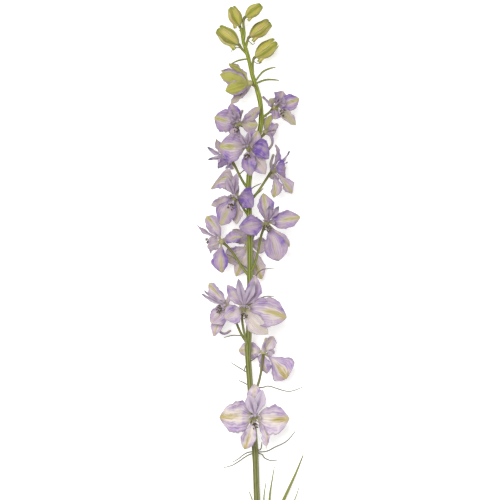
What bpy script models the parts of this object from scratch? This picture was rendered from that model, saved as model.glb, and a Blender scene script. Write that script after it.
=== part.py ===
"""Larkspur flower spike, cut and laid down on a surface.

The stem lies along +Y, its cut end towards -Y, and the side of the spike that shows best looks up
along +Z. Lengths are in millimetres until a mesh is made. They are measured from the underside of the
cut end, and the finished pieces are moved so that the middle of the spike's underside is the origin.
"""

import math
from collections import namedtuple

import bmesh
import bpy
from mathutils import Matrix, Quaternion, Vector

MM = 0.001

# Driving dimensions, in millimetres
FOOT_FLAT = 14.0  # how much of the cut end lies flat on the surface
STEM_FOOT_RADIUS = 1.7
STEM_TOP_RADIUS = 0.75
PEDICEL_RADIUS = 0.62
THREAD_RADIUS = 0.42  # bracts and bracteoles
RECEPTACLE_RADIUS = 1.6
SEPAL_ROOT = 1.2  # how far from the centre a sepal begins
INNER_ROOT_RADIUS = 0.9  # where the inner petals and the stamens spring from
SEAT_GAP = 0.4  # between pieces of different colour where they meet
BLADE_THICKNESS = 0.62
BLADE_CUP = 0.16  # how far a blade's edges stand up, as a share of its half width
BLADE_RIPPLE = 0.5
CLAW_HALF_WIDTH = 0.7  # where a blade leaves its centre
INNER_CLAW_HALF_WIDTH = 0.45
WING_WIDTH = 3.2
STAMEN_LENGTH = 6.0
STAMENS = 4

# How finely the solids are divided
STEM_POINTS = 28
STEM_SIDES = 8
BLADE_DIVISIONS = (4, 2)
INNER_DIVISIONS = (3, 1)
SPUR_POINTS = 4

MIDDLE = Vector((-5.2, 164, 0))  # of the spike's underside, which becomes the origin
UP_THE_STEM = Vector((0, 1, 0))
TOWARDS_VIEW = Vector((0, 0, 1))

# The stem's axis from its cut end to its tip, as (across, along, height)
STEM_ROUTE = (
    (0, 0, STEM_FOOT_RADIUS),
    (-0.1, FOOT_FLAT, STEM_FOOT_RADIUS),
    (-0.8, 30, 2.6),
    (-1.9, 58, 5.0),
    (-2.9, 85, 7.8),
    (-5.4, 116.5, 10.9),
    (-6.7, 136, 12.7),
    (-6.2, 146, 13.6),
    (-5.6, 165, 15.2),
    (-5.5, 188, 16.8),
    (-5.9, 210, 17.9),
    (-6.2, 230, 18.6),
    (-3.5, 246, 19.0),
    (0.2, 259.8, 19.3),
    (0.6, 267, 19.4),
    (0, 274, 19.4),
    (-1.5, 280.3, 19.4),
    (-3.1, 285, 19.4),
    (-4.6, 290, 19.3),
    (-6.1, 296.7, 19.2),
    (-7.4, 301.8, 19.1),
    (-9.0, 306.4, 19.0),
    (-9.9, 311.9, 18.9),
    (-10.5, 314.6, 18.8),
)

# A sepal's tip is measured from the centre of its bloom. Bow arches it towards the side that the bloom
# faces and sway bends it sideways, both as shares of its length; roll turns it about its own length.
# full moves its broadest place towards the tip.
Sepal = namedtuple("Sepal", "tip width bow roll sway full", defaults=(0.12, 0, 0, 1.15))

# axil: how far up the stem the pedicel leaves it. centre: (across, along). rise: height over the stem.
# face: the way the bloom looks. arrive: the way the pedicel runs where it meets the bloom.
# spur: points that the spur passes after the centre, measured from it. hood: the tips of the two upper
# inner petals and their width, or none where a bloom is only half open.
Bloom = namedtuple("Bloom", "name axil centre rise face arrive spur hood hood_width sepals")

BLOOMS = (
    Bloom(
        "bloom_01", 82, (-3, 100.5), 10, (0.05, -0.1, 1), (0.1, 0.5, 0.85),
        ((1.5, 3, -5), (3, 8.5, -9)), ((-3.4, 13.2, 6.5), (4.4, 15.6, 6.5)), 6.6,
        (
            Sepal((0, 18.5, 0), 9),
            Sepal((19.2, -0.4, 3), 16.5, 0.12, 0, -0.04, full=1.05),
            Sepal((6.3, -17.7, 1), 6, -0.1, 55, 0.17),
            Sepal((-5.5, -17.5, 2), 8.4, full=1.6),
            Sepal((-19.4, 0.2, 3), 18, 0.12, 0, -0.05, full=0.95),
        ),
    ),
    Bloom(
        "bloom_02", 111, (1.9, 136.2), 2.5, (0.45, 0.1, -0.88), (0.1, 0.9, -0.4),
        ((0, 3.5, 4), (1.5, 8, 7)), ((5, 4, -8), (6.5, -1, -8)), 4,
        (
            Sepal((5.7, 8.8, 2.8), 7),
            Sepal((13, -14.4, 2), 16.5, 0.12, 0, -0.02, full=2.1),
            Sepal((1.8, -12, -2.5), 7, -0.12),
            Sepal((-2.4, -6, -3.5), 5, 0.05),
            Sepal((-14, 0.8, -10.5), 10, full=1.4),
        ),
    ),
    Bloom(
        "bloom_03", 141, (-17, 160.6), 0, (-0.83, 0.21, 0.52), (-0.5, 0.85, -0.1),
        ((-0.5, -1.5, -5), (-3, -8, -6.5), (-5.2, -12.6, -5), (-2.6, -14.4, -4.5), (1, -12.5, -4)),
        ((-15.5, 8, 1.5), (-14, 9.8, -1)), 2.6,
        (
            Sepal((-11.4, 13.5, -7), 9.5, 0.12, 0, -0.07, full=1.3),
            Sepal((-10.3, -8, 6), 10, -0.1, 116),
            Sepal((-8.6, -15.8, 2), 7.4, -0.05, -25, -0.1, full=1.3),
            Sepal((-6, 0, -10.5), 8),
            Sepal((0, 7, -9), 7),
        ),
    ),
    Bloom(
        "bloom_04", 139, (-9, 160.6), 10, (0.05, -0.1, 1), (0.2, 0.5, 0.8),
        ((1, 4, -4), (3.5, 9, -6.5)), ((-2.9, 16.4, 8), (6, 15, 8)), 4.6,
        (
            Sepal((6.5, 18, 2), 8.5, 0.12, 0, -0.1),
            Sepal((23.6, -5, 3), 16.5, 0.12, 0, 0.06),
            Sepal((13.5, -14.3, 2.5), 9.5, 0.22, 0, -0.06),
            Sepal((-10.5, -5.2, 3), 11),
            Sepal((-9, 13, 3), 6.5),
        ),
    ),
    Bloom(
        "bloom_05", 178, (-21.2, 197.2), -1, (-0.85, 0.3, 0), (-0.75, 0.6, 0.1),
        ((2, 1.5, -4), (5, 3, -7.5)), ((-14.2, 9.6, 0.5), (-12.4, 8.2, 6)), 2.6,
        (
            Sepal((-8.6, 14, -11), 9, 0.02, 35, -0.08, full=1.4),
            Sepal((-7.8, -2.8, 6.5), 8, -0.1, 30),
            Sepal((0.4, -17.3, 4), 9.5, 0.12, -65, full=1.5),
            Sepal((-6, -6, -9), 8),
            Sepal((11.6, 2.5, 5.5), 7, 0.12, 35),
        ),
    ),
    Bloom(
        "bloom_06", 174, (-6.1, 195.1), -7.5, (0.05, -0.25, -0.97), (0, 0.6, -0.8),
        ((2, 4, 2), (4, 8.5, 2)), ((2, 4, -6.5), (-2, 4, -6.5)), 4,
        (
            Sepal((-9, 9, -4), 8),
            Sepal((-13.2, -8.5, -0.5), 11, full=1.4),
            Sepal((-7.2, -17.3, 1.2), 8),
            Sepal((7.2, -18.9, 2), 9),
            Sepal((11, 1, -0.8), 9),
        ),
    ),
    Bloom(
        "bloom_07", 180, (3.6, 207.2), 7.5, (0.2, 0, 0.98), (0.4, 0.7, 0.55),
        ((1, 4, -4.5), (2.5, 8.5, -8)), ((6.7, 9.3, 7), (1.5, 9.5, 7.5)), 3.6,
        (
            Sepal((-1.8, 16.4, 2), 9),
            Sepal((18.5, 3.4, 2), 10),
            Sepal((12.6, -12.9, -0.7), 5, full=2.1),
            Sepal((6.5, -20.8, 3.8), 14, 0.15, full=1.9),
            Sepal((-15.2, -2.4, 4.6), 11),
        ),
    ),
    Bloom(
        "bloom_08", 211, (-13.2, 221.9), 6, (-0.35, -0.3, 0.89), (-0.4, 0.6, 0.65),
        ((1, 4.5, -3), (0, 9.5, -6)), ((-5, 10, 6.5), (0.5, 12.5, 7)), 5,
        (
            Sepal((-14, 4, 1), 12, 0.02, 0, -0.68),
            Sepal((9.6, -5.9, 4), 12, 0.12, 0, 0.42),
            Sepal((0.3, -15.5, -0.7), 7, -0.04),
            Sepal((-8.5, -16, -1.5), 11),
            Sepal((-13.7, -5, -1.2), 6, 0),
        ),
    ),
    Bloom(
        "bloom_09", 219, (7, 236.5), -1, (0.78, 0.12, -0.62), (0.55, 0.75, -0.2),
        ((-1, 3.5, 4), (0.5, 8.5, 5.5)), ((9.6, 11.1, -4), (8.5, 5, -7.5)), 2.6,
        (
            Sepal((2.5, 14.1, -1), 5),
            Sepal((7, 0.5, 5), 10, 0.25),
            Sepal((10.8, -13, 2), 8, 0.12, 0, 0.06, full=1.8),
            Sepal((0.6, -15.4, 0), 8.5, full=1.7),
            Sepal((-2, -3.5, -17.6), 8),
        ),
    ),
    Bloom(
        "bloom_10", 234, (-6.5, 248.5), 10.5, (-0.1, -0.25, 0.96), (-0.1, 0.6, 0.75),
        ((-2, 3, -4.5), (-4.5, 7.5, -7.5)), ((-4.2, 7.1, 8.5), (0.4, 8.4, 8.5)), 3.2,
        (
            Sepal((5.5, 9, 4), 9),
            Sepal((11.4, -6.3, 3.6), 11, 0.2, 0, 0.35),
            Sepal((9.5, -14.7, 1.7), 9, 0.03),
            Sepal((1.3, -15.6, 1.9), 8, 0.16),
            Sepal((-15.6, 0.8, 3.5), 16),
        ),
    ),
    Bloom(
        "bloom_11", 226, (-15.8, 242.1), -4, (-0.865, 0.2, -0.458), (-0.5, 0.8, -0.3),
        ((3.5, 2, 1), (6.5, 6.5, -0.5)), ((-13.6, 7.6, -2), (-13.2, 0.4, -5.5)), 2.6,
        (
            Sepal((-8.5, 11.6, 7.5), 4),
            Sepal((-7.6, -4.4, 5.5), 6),
            Sepal((1, -5.2, -1.2), 6),
            Sepal((1, -2, -14.8), 8),
            Sepal((2, 9, -6), 7),
        ),
    ),
    Bloom(
        "bloom_12", 256, (-11.6, 261.5), 3.5, (-0.25, 0, 0.97), (-0.6, 0.3, 0.75),
        ((0.5, 3.5, -4.5), (2, 8, -7.5)), ((-5, 5, 7), (-1, 6.5, 7.5)), 3.8,
        (
            Sepal((-4.6, 11.3, 0.7), 7.5, 0),
            Sepal((11.5, 9.5, 2), 6, 0.12, 0, -0.1, full=1.3),
            Sepal((10.5, -0.6, 2), 9),
            Sepal((-4.5, -6, 1.5), 8.5),
            Sepal((-13.5, 3.6, 1.7), 13.5),
        ),
    ),
    Bloom(
        "bloom_13", 264.5, (7.8, 271.1), 0, (0.55, 0, 0.83), (0.6, 0.7, 0.3),
        ((-3, 2.5, -2.5), (-6.3, 5.9, -3.5)), ((2.8, 5.4, 6.5), (5.8, 4.2, 6.5)), 3.4,
        (
            Sepal((5, 8.8, 0.4), 9.5),
            Sepal((13.9, 4.6, -1.5), 9),
            Sepal((12, -10, -1.3), 6.5),
            Sepal((0.5, -7, 1.5), 8),
            Sepal((-3, 4, 5), 6),
        ),
    ),
    Bloom(
        "bloom_14", 252.5, (2.9, 257.4), -2.8, (0.55, 0.8, -0.2), (0.5, 0.75, -0.4),
        ((3.1, -1.9, -1), (3.9, -6, -1.5), (1.8, -9.6, -2)), (), 0,
        (
            Sepal((3.7, 9.4, 2.5), 5, -0.14),
            Sepal((7.2, 4.6, 1.5), 5.5, -0.12),
            Sepal((6, 0.4, -1.5), 5, -0.12, 60),
            Sepal((5, 5, -5.5), 5.5, -0.16),
            Sepal((0.8, 9, -3.5), 5.5, -0.12),
        ),
    ),
    Bloom(
        "bloom_15", 277, (-5.5, 284.1), 1.9, (-0.95, 0, 0.2), (-0.8, 0.45, 0.2),
        ((-1.5, -3.5, -4), (-4, -6.5, -6), (-7.5, -8.5, -7)), (), 0,
        (
            Sepal((-11.9, 10.9, -0.5), 7, -0.12, 30),
            Sepal((-16.2, 7.2, -5.5), 7.5, -0.1),
            Sepal((-16.6, 4.4, 5), 8.5, -0.14, -75),
            Sepal((-13.6, -4.6, 5), 9, -0.16, 71),
            Sepal((-10.6, -11.2, -2.5), 6.5, -0.06, -25),
        ),
    ),
)

# Closed buds. base and tip are (across, along); rise is the height over the stem's axis.
Bud = namedtuple("Bud", "name axil base tip rise width")
BUDS = (
    Bud("bud_1", 288.8, (-2.6, 298.6), (9.1, 307.3), -2.0, 7.8),
    Bud("bud_2", 303.8, (-5.6, 309.6), (5.6, 317.8), 1.5, 7.2),
    Bud("bud_3", 299.4, (-11.9, 305.4), (-23.2, 314.4), 1.5, 8.2),
    Bud("bud_4", 313.6, (-11.2, 315.6), (-15.8, 326.4), -0.5, 6.6),
    Bud("bud_5", 308.5, (-7.9, 320.6), (1.0, 327.1), 0.5, 6.0),
)

# Thread-like bracts and bracteoles. carrier is the stem, with how far up it, or a bloom, with the share
# of its pedicel's length. route is (across, along, height over the stem's axis) from there.
Thread = namedtuple("Thread", "carrier place route")
THREADS = (
    Thread("stem", 80.6, ((3.6, 81.1, 1), (8.5, 83.6, 2), (13, 85.7, 2.5), (16, 88, 3), (19.4, 92.4, 4))),
    Thread("stem", 80.4, ((1.1, 79.2, -1), (2.6, 77.2, -1.5), (6.1, 75.7, -2), (9.8, 76, -2))),
    Thread("stem", 81.5, ((0.4, 82.2, 0.5), (1.0, 86.2, 0.5))),
    Thread("stem", 80.8, ((-6.6, 80.4, 0), (-9.7, 78.7, 0), (-11.8, 76.9, 0), (-15.7, 74.8, 1))),
    Thread("stem", 80.2, ((-6.8, 78.6, -1.5), (-11.8, 75.2, -2), (-15.5, 73, -2), (-20.2, 71.7, -2))),
    Thread("stem", 116, ((1.5, 116.5, -2), (5.3, 117.1, -2.5), (15.8, 114.2, -3), (24.2, 116.9, -2))),
    Thread("stem", 117, ((-8.6, 119, -1), (-11.8, 120.4, -2))),
    Thread("stem", 124, ((-9.4, 126.2, -1), (-16.2, 130.4, -2))),
    Thread("stem", 130, ((-8.0, 128.2, 1), (-8.8, 125.4, 1))),
    Thread("stem", 130.5, ((-3.4, 132.2, 1.2), (-1.2, 134.2, 1.5))),
    Thread("bloom_03", 0.25, ((-14.9, 145.4, 0), (-20, 144.2, 0))),
    Thread("stem", 163, ((-0.6, 165.6, -3), (3.6, 166.9, -4), (7.8, 166.9, -4))),
    Thread("stem", 175, ((-2.7, 177.4, 1.5), (-1.2, 179.8, 2), (1.9, 181.9, 2), (7.8, 182.5, 2))),
    Thread("stem", 181.5, ((-9.9, 184.4, -1.5), (-14.9, 188.4, -2), (-18.3, 190.1, -2))),
    Thread("stem", 224.6, ((-3.6, 227, 1), (0.7, 229.1, 1.5))),
    Thread("stem", 222, ((-1.6, 223.4, -2), (1.9, 226.6, -2.5))),
    Thread("bloom_11", 0.55, ((-8.6, 236.4, -2), (-6.4, 236.6, -2.5))),
    Thread("stem", 284.6, ((1.1, 290, -0.5), (4.9, 292.1, -0.5), (8.6, 293, -1))),
    Thread("stem", 283.8, ((3.6, 286, 1), (10.7, 285.6, 2))),
    Thread("stem", 297.6, ((-11.6, 296.7, 0.5), (-16.2, 294.6, 1))),
)

# The divided leaf near the cut end: its short stalk, and its lobes, which leave the end of it
LEAF_STALK = ((2.3, 24, 2.5), (3.9, 27.5, 2.4), (4.6, 32, 2.3))
LEAF_LOBES = (
    ((4.5, 31, 2.3), (7, 39, 2.4), (11, 49, 2.6), (16, 60, 3.4), (20.5, 70, 4.6), (24, 79, 6.5)),
    ((4.5, 31, 2.3), (4.8, 42, 2.6), (5.4, 55, 3.4), (6.3, 62, 4.6), (8, 72.5, 7)),
    ((4.8, 42.5, 2.6), (3.0, 49, 2.8), (2.2, 55, 3.6), (3.6, 65, 5)),
    ((4.5, 31, 2.3), (9.5, 38, 1.6), (15, 46, 1.4), (19.4, 54, 1.6), (22, 61.6, 2.2)),
    ((9.5, 38.2, 1.6), (16, 41, 1.2), (25, 50, 1.2)),
    ((4.5, 31, 2.3), (10, 33, 1.4), (17, 34.5, 1.0), (23.5, 38, 1.0)),
    ((4.5, 31, 2.3), (2.4, 35.5, 1.0), (-1.5, 43, 0.85), (-3.9, 52.3, 1.2), (-6.2, 58.9, 2.5)),
)

COLOURS = {
    "stem": ((0.24, 0.33, 0.07), 0.55),
    "leaf": ((0.27, 0.36, 0.10), 0.6),
    "sepals": ((0.62, 0.50, 0.80), 0.6),
    "petals": ((0.80, 0.74, 0.84), 0.6),
    "stamens": ((0.30, 0.26, 0.10), 0.7),
    "bud": ((0.52, 0.56, 0.20), 0.55),
}


def clear_scene():
    for obj in list(bpy.data.objects):
        bpy.data.objects.remove(obj)


def along(points, share):
    """The point at this share, 0 to 1, of the smooth curve through the given points."""
    place = min(max(share, 0.0), 1.0) * (len(points) - 1)
    first = min(int(place), len(points) - 2)
    t = place - first
    a = points[max(first - 1, 0)]
    b, c = points[first], points[first + 1]
    d = points[min(first + 2, len(points) - 1)]
    return 0.5 * (2 * b + (c - a) * t + (2 * a - 5 * b + 4 * c - d) * t**2 + (3 * b - a - 3 * c + d) * t**3)


def smooth(points, count):
    points = [Vector(p) for p in points]
    return [along(points, i / (count - 1)) for i in range(count)]


def stem_at(height):
    """The stem's axis this far up from its cut end."""
    for low, high in zip(STEM_ROUTE, STEM_ROUTE[1:]):
        if height <= high[1]:
            share = (height - low[1]) / (high[1] - low[1])
            return Vector(low).lerp(Vector(high), share)
    return Vector(STEM_ROUTE[-1])


def over_stem(across, height, rise):
    return Vector((across, height, stem_at(height).z + rise))


def link(obj):
    bpy.context.scene.collection.objects.link(obj)
    return obj


def mesh_object(name, shape):
    """A new object that holds the bmesh, scaled from millimetres to metres."""
    bmesh.ops.scale(shape, vec=(MM, MM, MM), verts=shape.verts)
    mesh = bpy.data.meshes.new(name)
    shape.to_mesh(mesh)
    shape.free()
    return link(bpy.data.objects.new(name, mesh))


def evaluated_mesh(obj):
    bpy.context.view_layer.update()
    graph = bpy.context.evaluated_depsgraph_get()
    return bpy.data.meshes.new_from_object(obj.evaluated_get(graph))


def rod(points, radius_at, resolution, turn=0.0, twist="Z_UP"):
    """A closed rod along the points. radius_at takes the share of the points that is passed."""
    curve = bpy.data.curves.new("rod", "CURVE")
    curve.dimensions = "3D"
    curve.twist_mode = twist
    curve.bevel_depth = MM
    curve.bevel_resolution = resolution
    curve.use_fill_caps = True
    line = curve.splines.new("POLY")
    line.points.add(len(points) - 1)
    for i, (point, place) in enumerate(zip(line.points, points)):
        point.co = (*(Vector(place) * MM), 1)
        point.radius = radius_at(i / (len(points) - 1))
        point.tilt = turn
    obj = link(bpy.data.objects.new("rod", curve))
    mesh = evaluated_mesh(obj)
    bpy.data.objects.remove(obj)
    shape = bmesh.new()
    shape.from_mesh(mesh)
    bmesh.ops.remove_doubles(shape, verts=shape.verts, dist=0.001 * MM)
    shape.to_mesh(mesh)
    shape.free()
    return link(bpy.data.objects.new("rod", mesh))


def ball(centre, radii, segments, rings, pole):
    """A closed ellipsoid with its pole along the given direction."""
    shape = bmesh.new()
    bmesh.ops.create_uvsphere(shape, u_segments=segments, v_segments=rings, radius=1)
    turn = TOWARDS_VIEW.rotation_difference(pole)
    for vertex in shape.verts:
        vertex.co = centre + turn @ Vector([c * r for c, r in zip(vertex.co, radii)])
    return mesh_object("ball", shape)


def square_to(direction, axis):
    """The part of a direction that is perpendicular to the axis, with length 1."""
    axis = axis.normalized()
    return (direction - axis * direction.dot(axis)).normalized()


def outline(t, full):
    """A sepal's half width, as a share, at share t of its length: narrow claw, broad towards the tip."""
    return max(math.sin(math.pi * min(max(t, 0.0), 1.0) ** full), 0.0) ** 0.8


def blade(
    base, tip, facing, width, bow, sway=0.0, full=1.15, divisions=BLADE_DIVISIONS, claw=CLAW_HALF_WIDTH
):
    """A thin sheet from base to tip whose inner face looks along facing, given a thickness."""
    run = tip - base
    normal = square_to(facing, run)
    side = normal.cross(run.normalized())
    shape = bmesh.new()
    bmesh.ops.create_grid(shape, x_segments=divisions[0], y_segments=divisions[1], size=1)
    bmesh.ops.triangulate(shape, faces=shape.faces)
    for vertex in shape.verts:
        t, s = (vertex.co.x + 1) / 2, vertex.co.y
        half = max(width / 2 * outline(t, full), claw * (1 - t))
        swell = math.sin(math.pi * t)
        arch = bow * run.length * swell + BLADE_CUP * half * s * s * swell
        ripple = BLADE_RIPPLE * s * math.sin(7 * t) * swell
        vertex.co = base + run * t + side * (half * s + sway * run.length * swell) + normal * (arch + ripple)
    bmesh.ops.remove_doubles(shape, verts=shape.verts, dist=0.01)
    bmesh.ops.recalc_face_normals(shape, faces=shape.faces)
    sheet = mesh_object("blade", shape)
    wall = sheet.modifiers.new("Thickness", "SOLIDIFY")
    wall.thickness = BLADE_THICKNESS * MM
    wall.offset = 0
    return sheet


def finished(obj, name, kind):
    """Names the object, moves it to where the spike lies and gives it its own material."""
    colour, roughness = COLOURS[kind]
    obj.name = name
    obj.data.name = name
    obj.data.transform(Matrix.Translation(-MIDDLE * MM))
    material = bpy.data.materials.new(name)
    material.use_nodes = True
    shader = material.node_tree.nodes["Principled BSDF"]
    shader.inputs["Base Color"].default_value = (*colour, 1)
    shader.inputs["Roughness"].default_value = roughness
    shader.inputs["Metallic"].default_value = 0
    obj.data.materials.clear()
    obj.data.materials.append(material)
    obj.data.shade_smooth()
    obj.data.set_sharp_from_angle(angle=math.radians(50))
    return obj


def fused(name, kind, core, pieces):
    """The core and the pieces that grow from it as one closed body."""
    group = bpy.data.collections.new(name + "_pieces")
    bpy.context.scene.collection.children.link(group)
    for piece in pieces:
        group.objects.link(piece)
        bpy.context.scene.collection.objects.unlink(piece)
    join = core.modifiers.new("Join", "BOOLEAN")
    join.operation = "UNION"
    join.solver = "MANIFOLD"
    join.operand_type = "COLLECTION"
    join.collection = group
    mesh = evaluated_mesh(core)
    for piece in [*pieces, core]:
        bpy.data.objects.remove(piece)
    bpy.data.collections.remove(group)
    return finished(link(bpy.data.objects.new(name, mesh)), name, kind)


def bloom_centre(bloom):
    return over_stem(*bloom.centre, bloom.rise)


def bloom_axes(bloom):
    """The way a bloom looks, the way its hood leans, and the way across it."""
    face = Vector(bloom.face).normalized()
    crown = square_to(sum((Vector(tip) for tip in bloom.hood), Vector()), face)
    return face, crown, crown.cross(face)


def pedicel_points(start, end, arrive, out, count=6):
    """A slender stalk's route from inside the stem to its end, which it reaches along arrive."""
    reach = (end - start).length
    first = start + out * reach * 0.35
    last = end - arrive * reach * 0.35
    points = []
    for i in range(count):
        t = i / (count - 1)
        points.append(
            start * (1 - t) ** 3 + first * 3 * t * (1 - t) ** 2 + last * 3 * t**2 * (1 - t) + end * t**3
        )
    return points


def bloom_stalk(bloom):
    arrive = Vector(bloom.arrive).normalized()
    end = bloom_centre(bloom) - arrive * (RECEPTACLE_RADIUS + SEAT_GAP)
    start = stem_at(bloom.axil)
    out = (square_to(end - start, UP_THE_STEM) + UP_THE_STEM * 0.9).normalized()
    return pedicel_points(start, end, arrive, out)


def bud_ends(bud):
    return over_stem(*bud.base, bud.rise), over_stem(*bud.tip, bud.rise + 0.5)


def bud_stalk(bud):
    base, tip = bud_ends(bud)
    arrive = (tip - base).normalized()
    end = base - arrive * 2 * SEAT_GAP
    start = stem_at(bud.axil)
    out = (square_to(end - start, UP_THE_STEM) + UP_THE_STEM * 1.5).normalized()
    return pedicel_points(start, end, (arrive + UP_THE_STEM).normalized(), out, 5)


def stalk_rod(points):
    return rod(points, lambda t: PEDICEL_RADIUS * (1.2 - 0.25 * t + 0.45 * t**6), 0)


def thread_rod(thread, stalks):
    """One linear bract or bracteole, tapering to its tip."""
    if thread.carrier == "stem":
        start = stem_at(thread.place)
    else:
        start = along(stalks[thread.carrier], thread.place)
    points = [start] + [over_stem(*p) for p in thread.route]
    return rod(points, lambda t: THREAD_RADIUS * (1.25 - 0.55 * t), 0)


def make_stem():
    points = smooth(STEM_ROUTE, STEM_POINTS)
    facet = math.pi / STEM_SIDES
    for point in points:
        if point.y <= FOOT_FLAT:
            point.z = STEM_FOOT_RADIUS * math.cos(facet)
    taper = 1 - STEM_TOP_RADIUS / STEM_FOOT_RADIUS
    core = rod(
        points, lambda t: STEM_FOOT_RADIUS * (1 - taper * max(0, t - 0.12) ** 1.6 / 0.8),
        (STEM_SIDES - 4) // 2, facet,
    )
    stalks = {bloom.name: bloom_stalk(bloom) for bloom in BLOOMS}
    stalks.update({bud.name: bud_stalk(bud) for bud in BUDS})
    threads = [thread_rod(thread, stalks) for thread in THREADS]
    fused("stem", "stem", core, [stalk_rod(points) for points in stalks.values()] + threads)


def make_leaf():
    """The divided leaf near the cut end, with its lobes fused to its stalk."""
    core = rod(smooth(LEAF_STALK, 4), lambda t: 0.75 - 0.1 * t, 1)
    lobes = []
    for route in LEAF_LOBES:
        points = [Vector(p) for p in route]
        lobes.append(rod(points, lambda t: 0.62 * math.sin(math.pi * (0.28 + 0.62 * t)) + 0.08, 0))
    fused("leaf_1", "leaf", core, lobes)


def make_sepals(bloom):
    """The ring of sepals and the spur behind it, on the receptacle."""
    centre, face = bloom_centre(bloom), Vector(bloom.face).normalized()
    core = ball(centre, (RECEPTACLE_RADIUS,) * 3, 6, 4, face)
    pieces = []
    for sepal in bloom.sepals:
        tip = Vector(sepal.tip)
        facing = Quaternion(tip.normalized(), math.radians(sepal.roll)) @ face
        base = centre + tip.normalized() * SEPAL_ROOT
        pieces.append(blade(base, centre + tip, facing, sepal.width, sepal.bow, sepal.sway, sepal.full))
    route = [centre] + [centre + Vector(p) for p in bloom.spur]
    pieces.append(rod(smooth(route, SPUR_POINTS), lambda t: 1.25 - 0.75 * t, 1))
    fused(bloom.name + "_sepals", "sepals", core, pieces)


def inner_petal(root, tip, facing, width, bow):
    base = root + (tip - root).normalized() * INNER_ROOT_RADIUS * 0.6
    return blade(base, tip, facing, width, bow, divisions=INNER_DIVISIONS, claw=INNER_CLAW_HALF_WIDTH)


def make_petals(bloom):
    """The two upper inner petals and the two wings round the stamens."""
    centre = bloom_centre(bloom)
    face, crown, side = bloom_axes(bloom)
    out = (face * 0.86 + crown * 0.5).normalized()
    root = centre + out * (RECEPTACLE_RADIUS + SEAT_GAP + INNER_ROOT_RADIUS)
    core = ball(root, (INNER_ROOT_RADIUS,) * 3, 5, 3, face)
    pieces = []
    for tip in bloom.hood:
        pieces.append(inner_petal(root, centre + Vector(tip), face - crown * 0.3, bloom.hood_width, 0.06))
    for hand in (-1, 1):
        tip = centre + face * 7.2 + side * (3.2 * hand) + crown * 0.8
        pieces.append(inner_petal(root, tip, -side * hand - crown, WING_WIDTH, -0.14))
    fused(bloom.name + "_petals", "petals", core, pieces)


def make_stamens(bloom):
    """The stamens round the pistil."""
    centre = bloom_centre(bloom)
    face, crown, side = bloom_axes(bloom)
    out = (face - crown * 0.35).normalized()
    root = centre + out * (RECEPTACLE_RADIUS + SEAT_GAP + INNER_ROOT_RADIUS)
    core = ball(root, (INNER_ROOT_RADIUS,) * 3, 5, 3, out)
    pieces = []
    for i in range(STAMENS):
        angle = 2 * math.pi * (i + 0.5) / STAMENS
        fan = side * math.cos(angle) + crown * math.sin(angle)
        start = root + out * 0.2 + fan * 0.55
        knee = root + out * STAMEN_LENGTH * 0.5 + fan * 1.1
        end = root + out * STAMEN_LENGTH * (1 - 0.08 * (i % 2)) + fan * 1.4 - crown
        pieces.append(rod([start, knee, end], lambda t: 0.34 + 0.16 * t**4, 0, twist="MINIMUM"))
    fused(bloom.name + "_stamens", "stamens", core, pieces)


def make_bud(bud):
    """A closed bud: five overlapping sepals raised as ridges on an egg shape."""
    base, tip = bud_ends(bud)
    run = tip - base
    shape = bmesh.new()
    bmesh.ops.create_uvsphere(shape, u_segments=10, v_segments=7, radius=1)
    turn = TOWARDS_VIEW.rotation_difference(run)
    for vertex in shape.verts:
        t = (vertex.co.z + 1) / 2
        angle = math.atan2(vertex.co.y, vertex.co.x)
        ridge = 1 + 0.1 * math.cos(5 * angle) * math.sin(math.pi * t)
        girth = bud.width / 2 * (1 + 0.22 * (t - 0.5)) * ridge
        vertex.co = base + turn @ Vector((vertex.co.x * girth, vertex.co.y * girth, run.length * t))
    core = mesh_object("bud", shape)
    side = square_to(-UP_THE_STEM, run)
    back = base + run * 0.28 + side * bud.width * 0.3
    route = [back + run * 0.2, back, base - run * 0.02 + side * bud.width * 0.42]
    spur = rod(route, lambda t: bud.width * (0.22 - 0.09 * t), 1)
    fused(bud.name, "bud", core, [spur])


def main():
    clear_scene()
    make_stem()
    make_leaf()
    for bloom in BLOOMS:
        make_sepals(bloom)
        if bloom.hood:
            make_petals(bloom)
            make_stamens(bloom)
    for bud in BUDS:
        make_bud(bud)


main()
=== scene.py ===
"""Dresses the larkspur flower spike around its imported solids.

The spike lies along +Y and is looked down on. Shapes are worked out in millimetres from the underside of
the cut end, as the solids are, and each finished mesh is moved to the row frame in metres.
"""

import math
from collections import namedtuple

import bmesh
import bpy
import numpy as np
from bpy.props import FloatProperty, FloatVectorProperty, IntProperty, PointerProperty
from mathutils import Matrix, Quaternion, Vector


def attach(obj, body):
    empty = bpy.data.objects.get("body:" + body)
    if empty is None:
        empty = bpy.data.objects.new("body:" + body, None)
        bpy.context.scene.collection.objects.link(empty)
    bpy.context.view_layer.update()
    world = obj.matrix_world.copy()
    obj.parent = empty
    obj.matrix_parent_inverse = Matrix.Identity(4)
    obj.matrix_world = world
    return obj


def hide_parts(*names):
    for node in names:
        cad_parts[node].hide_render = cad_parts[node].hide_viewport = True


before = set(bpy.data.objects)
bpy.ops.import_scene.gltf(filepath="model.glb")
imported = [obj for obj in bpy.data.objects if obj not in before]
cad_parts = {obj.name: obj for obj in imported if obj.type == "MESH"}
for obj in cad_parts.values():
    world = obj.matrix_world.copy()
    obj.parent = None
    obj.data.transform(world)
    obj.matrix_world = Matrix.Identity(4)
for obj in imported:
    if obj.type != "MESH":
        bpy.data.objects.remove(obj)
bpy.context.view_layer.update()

bl_info = {
    "name": "Larkspur flower spike",
    "version": (1, 0, 0),
    "blender": (4, 5, 0),
    "location": "View3D > Sidebar > Larkspur",
    "description": "Makes the stem, leaf, blooms and buds of a cut larkspur spike",
    "category": "Add Mesh",
}

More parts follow.
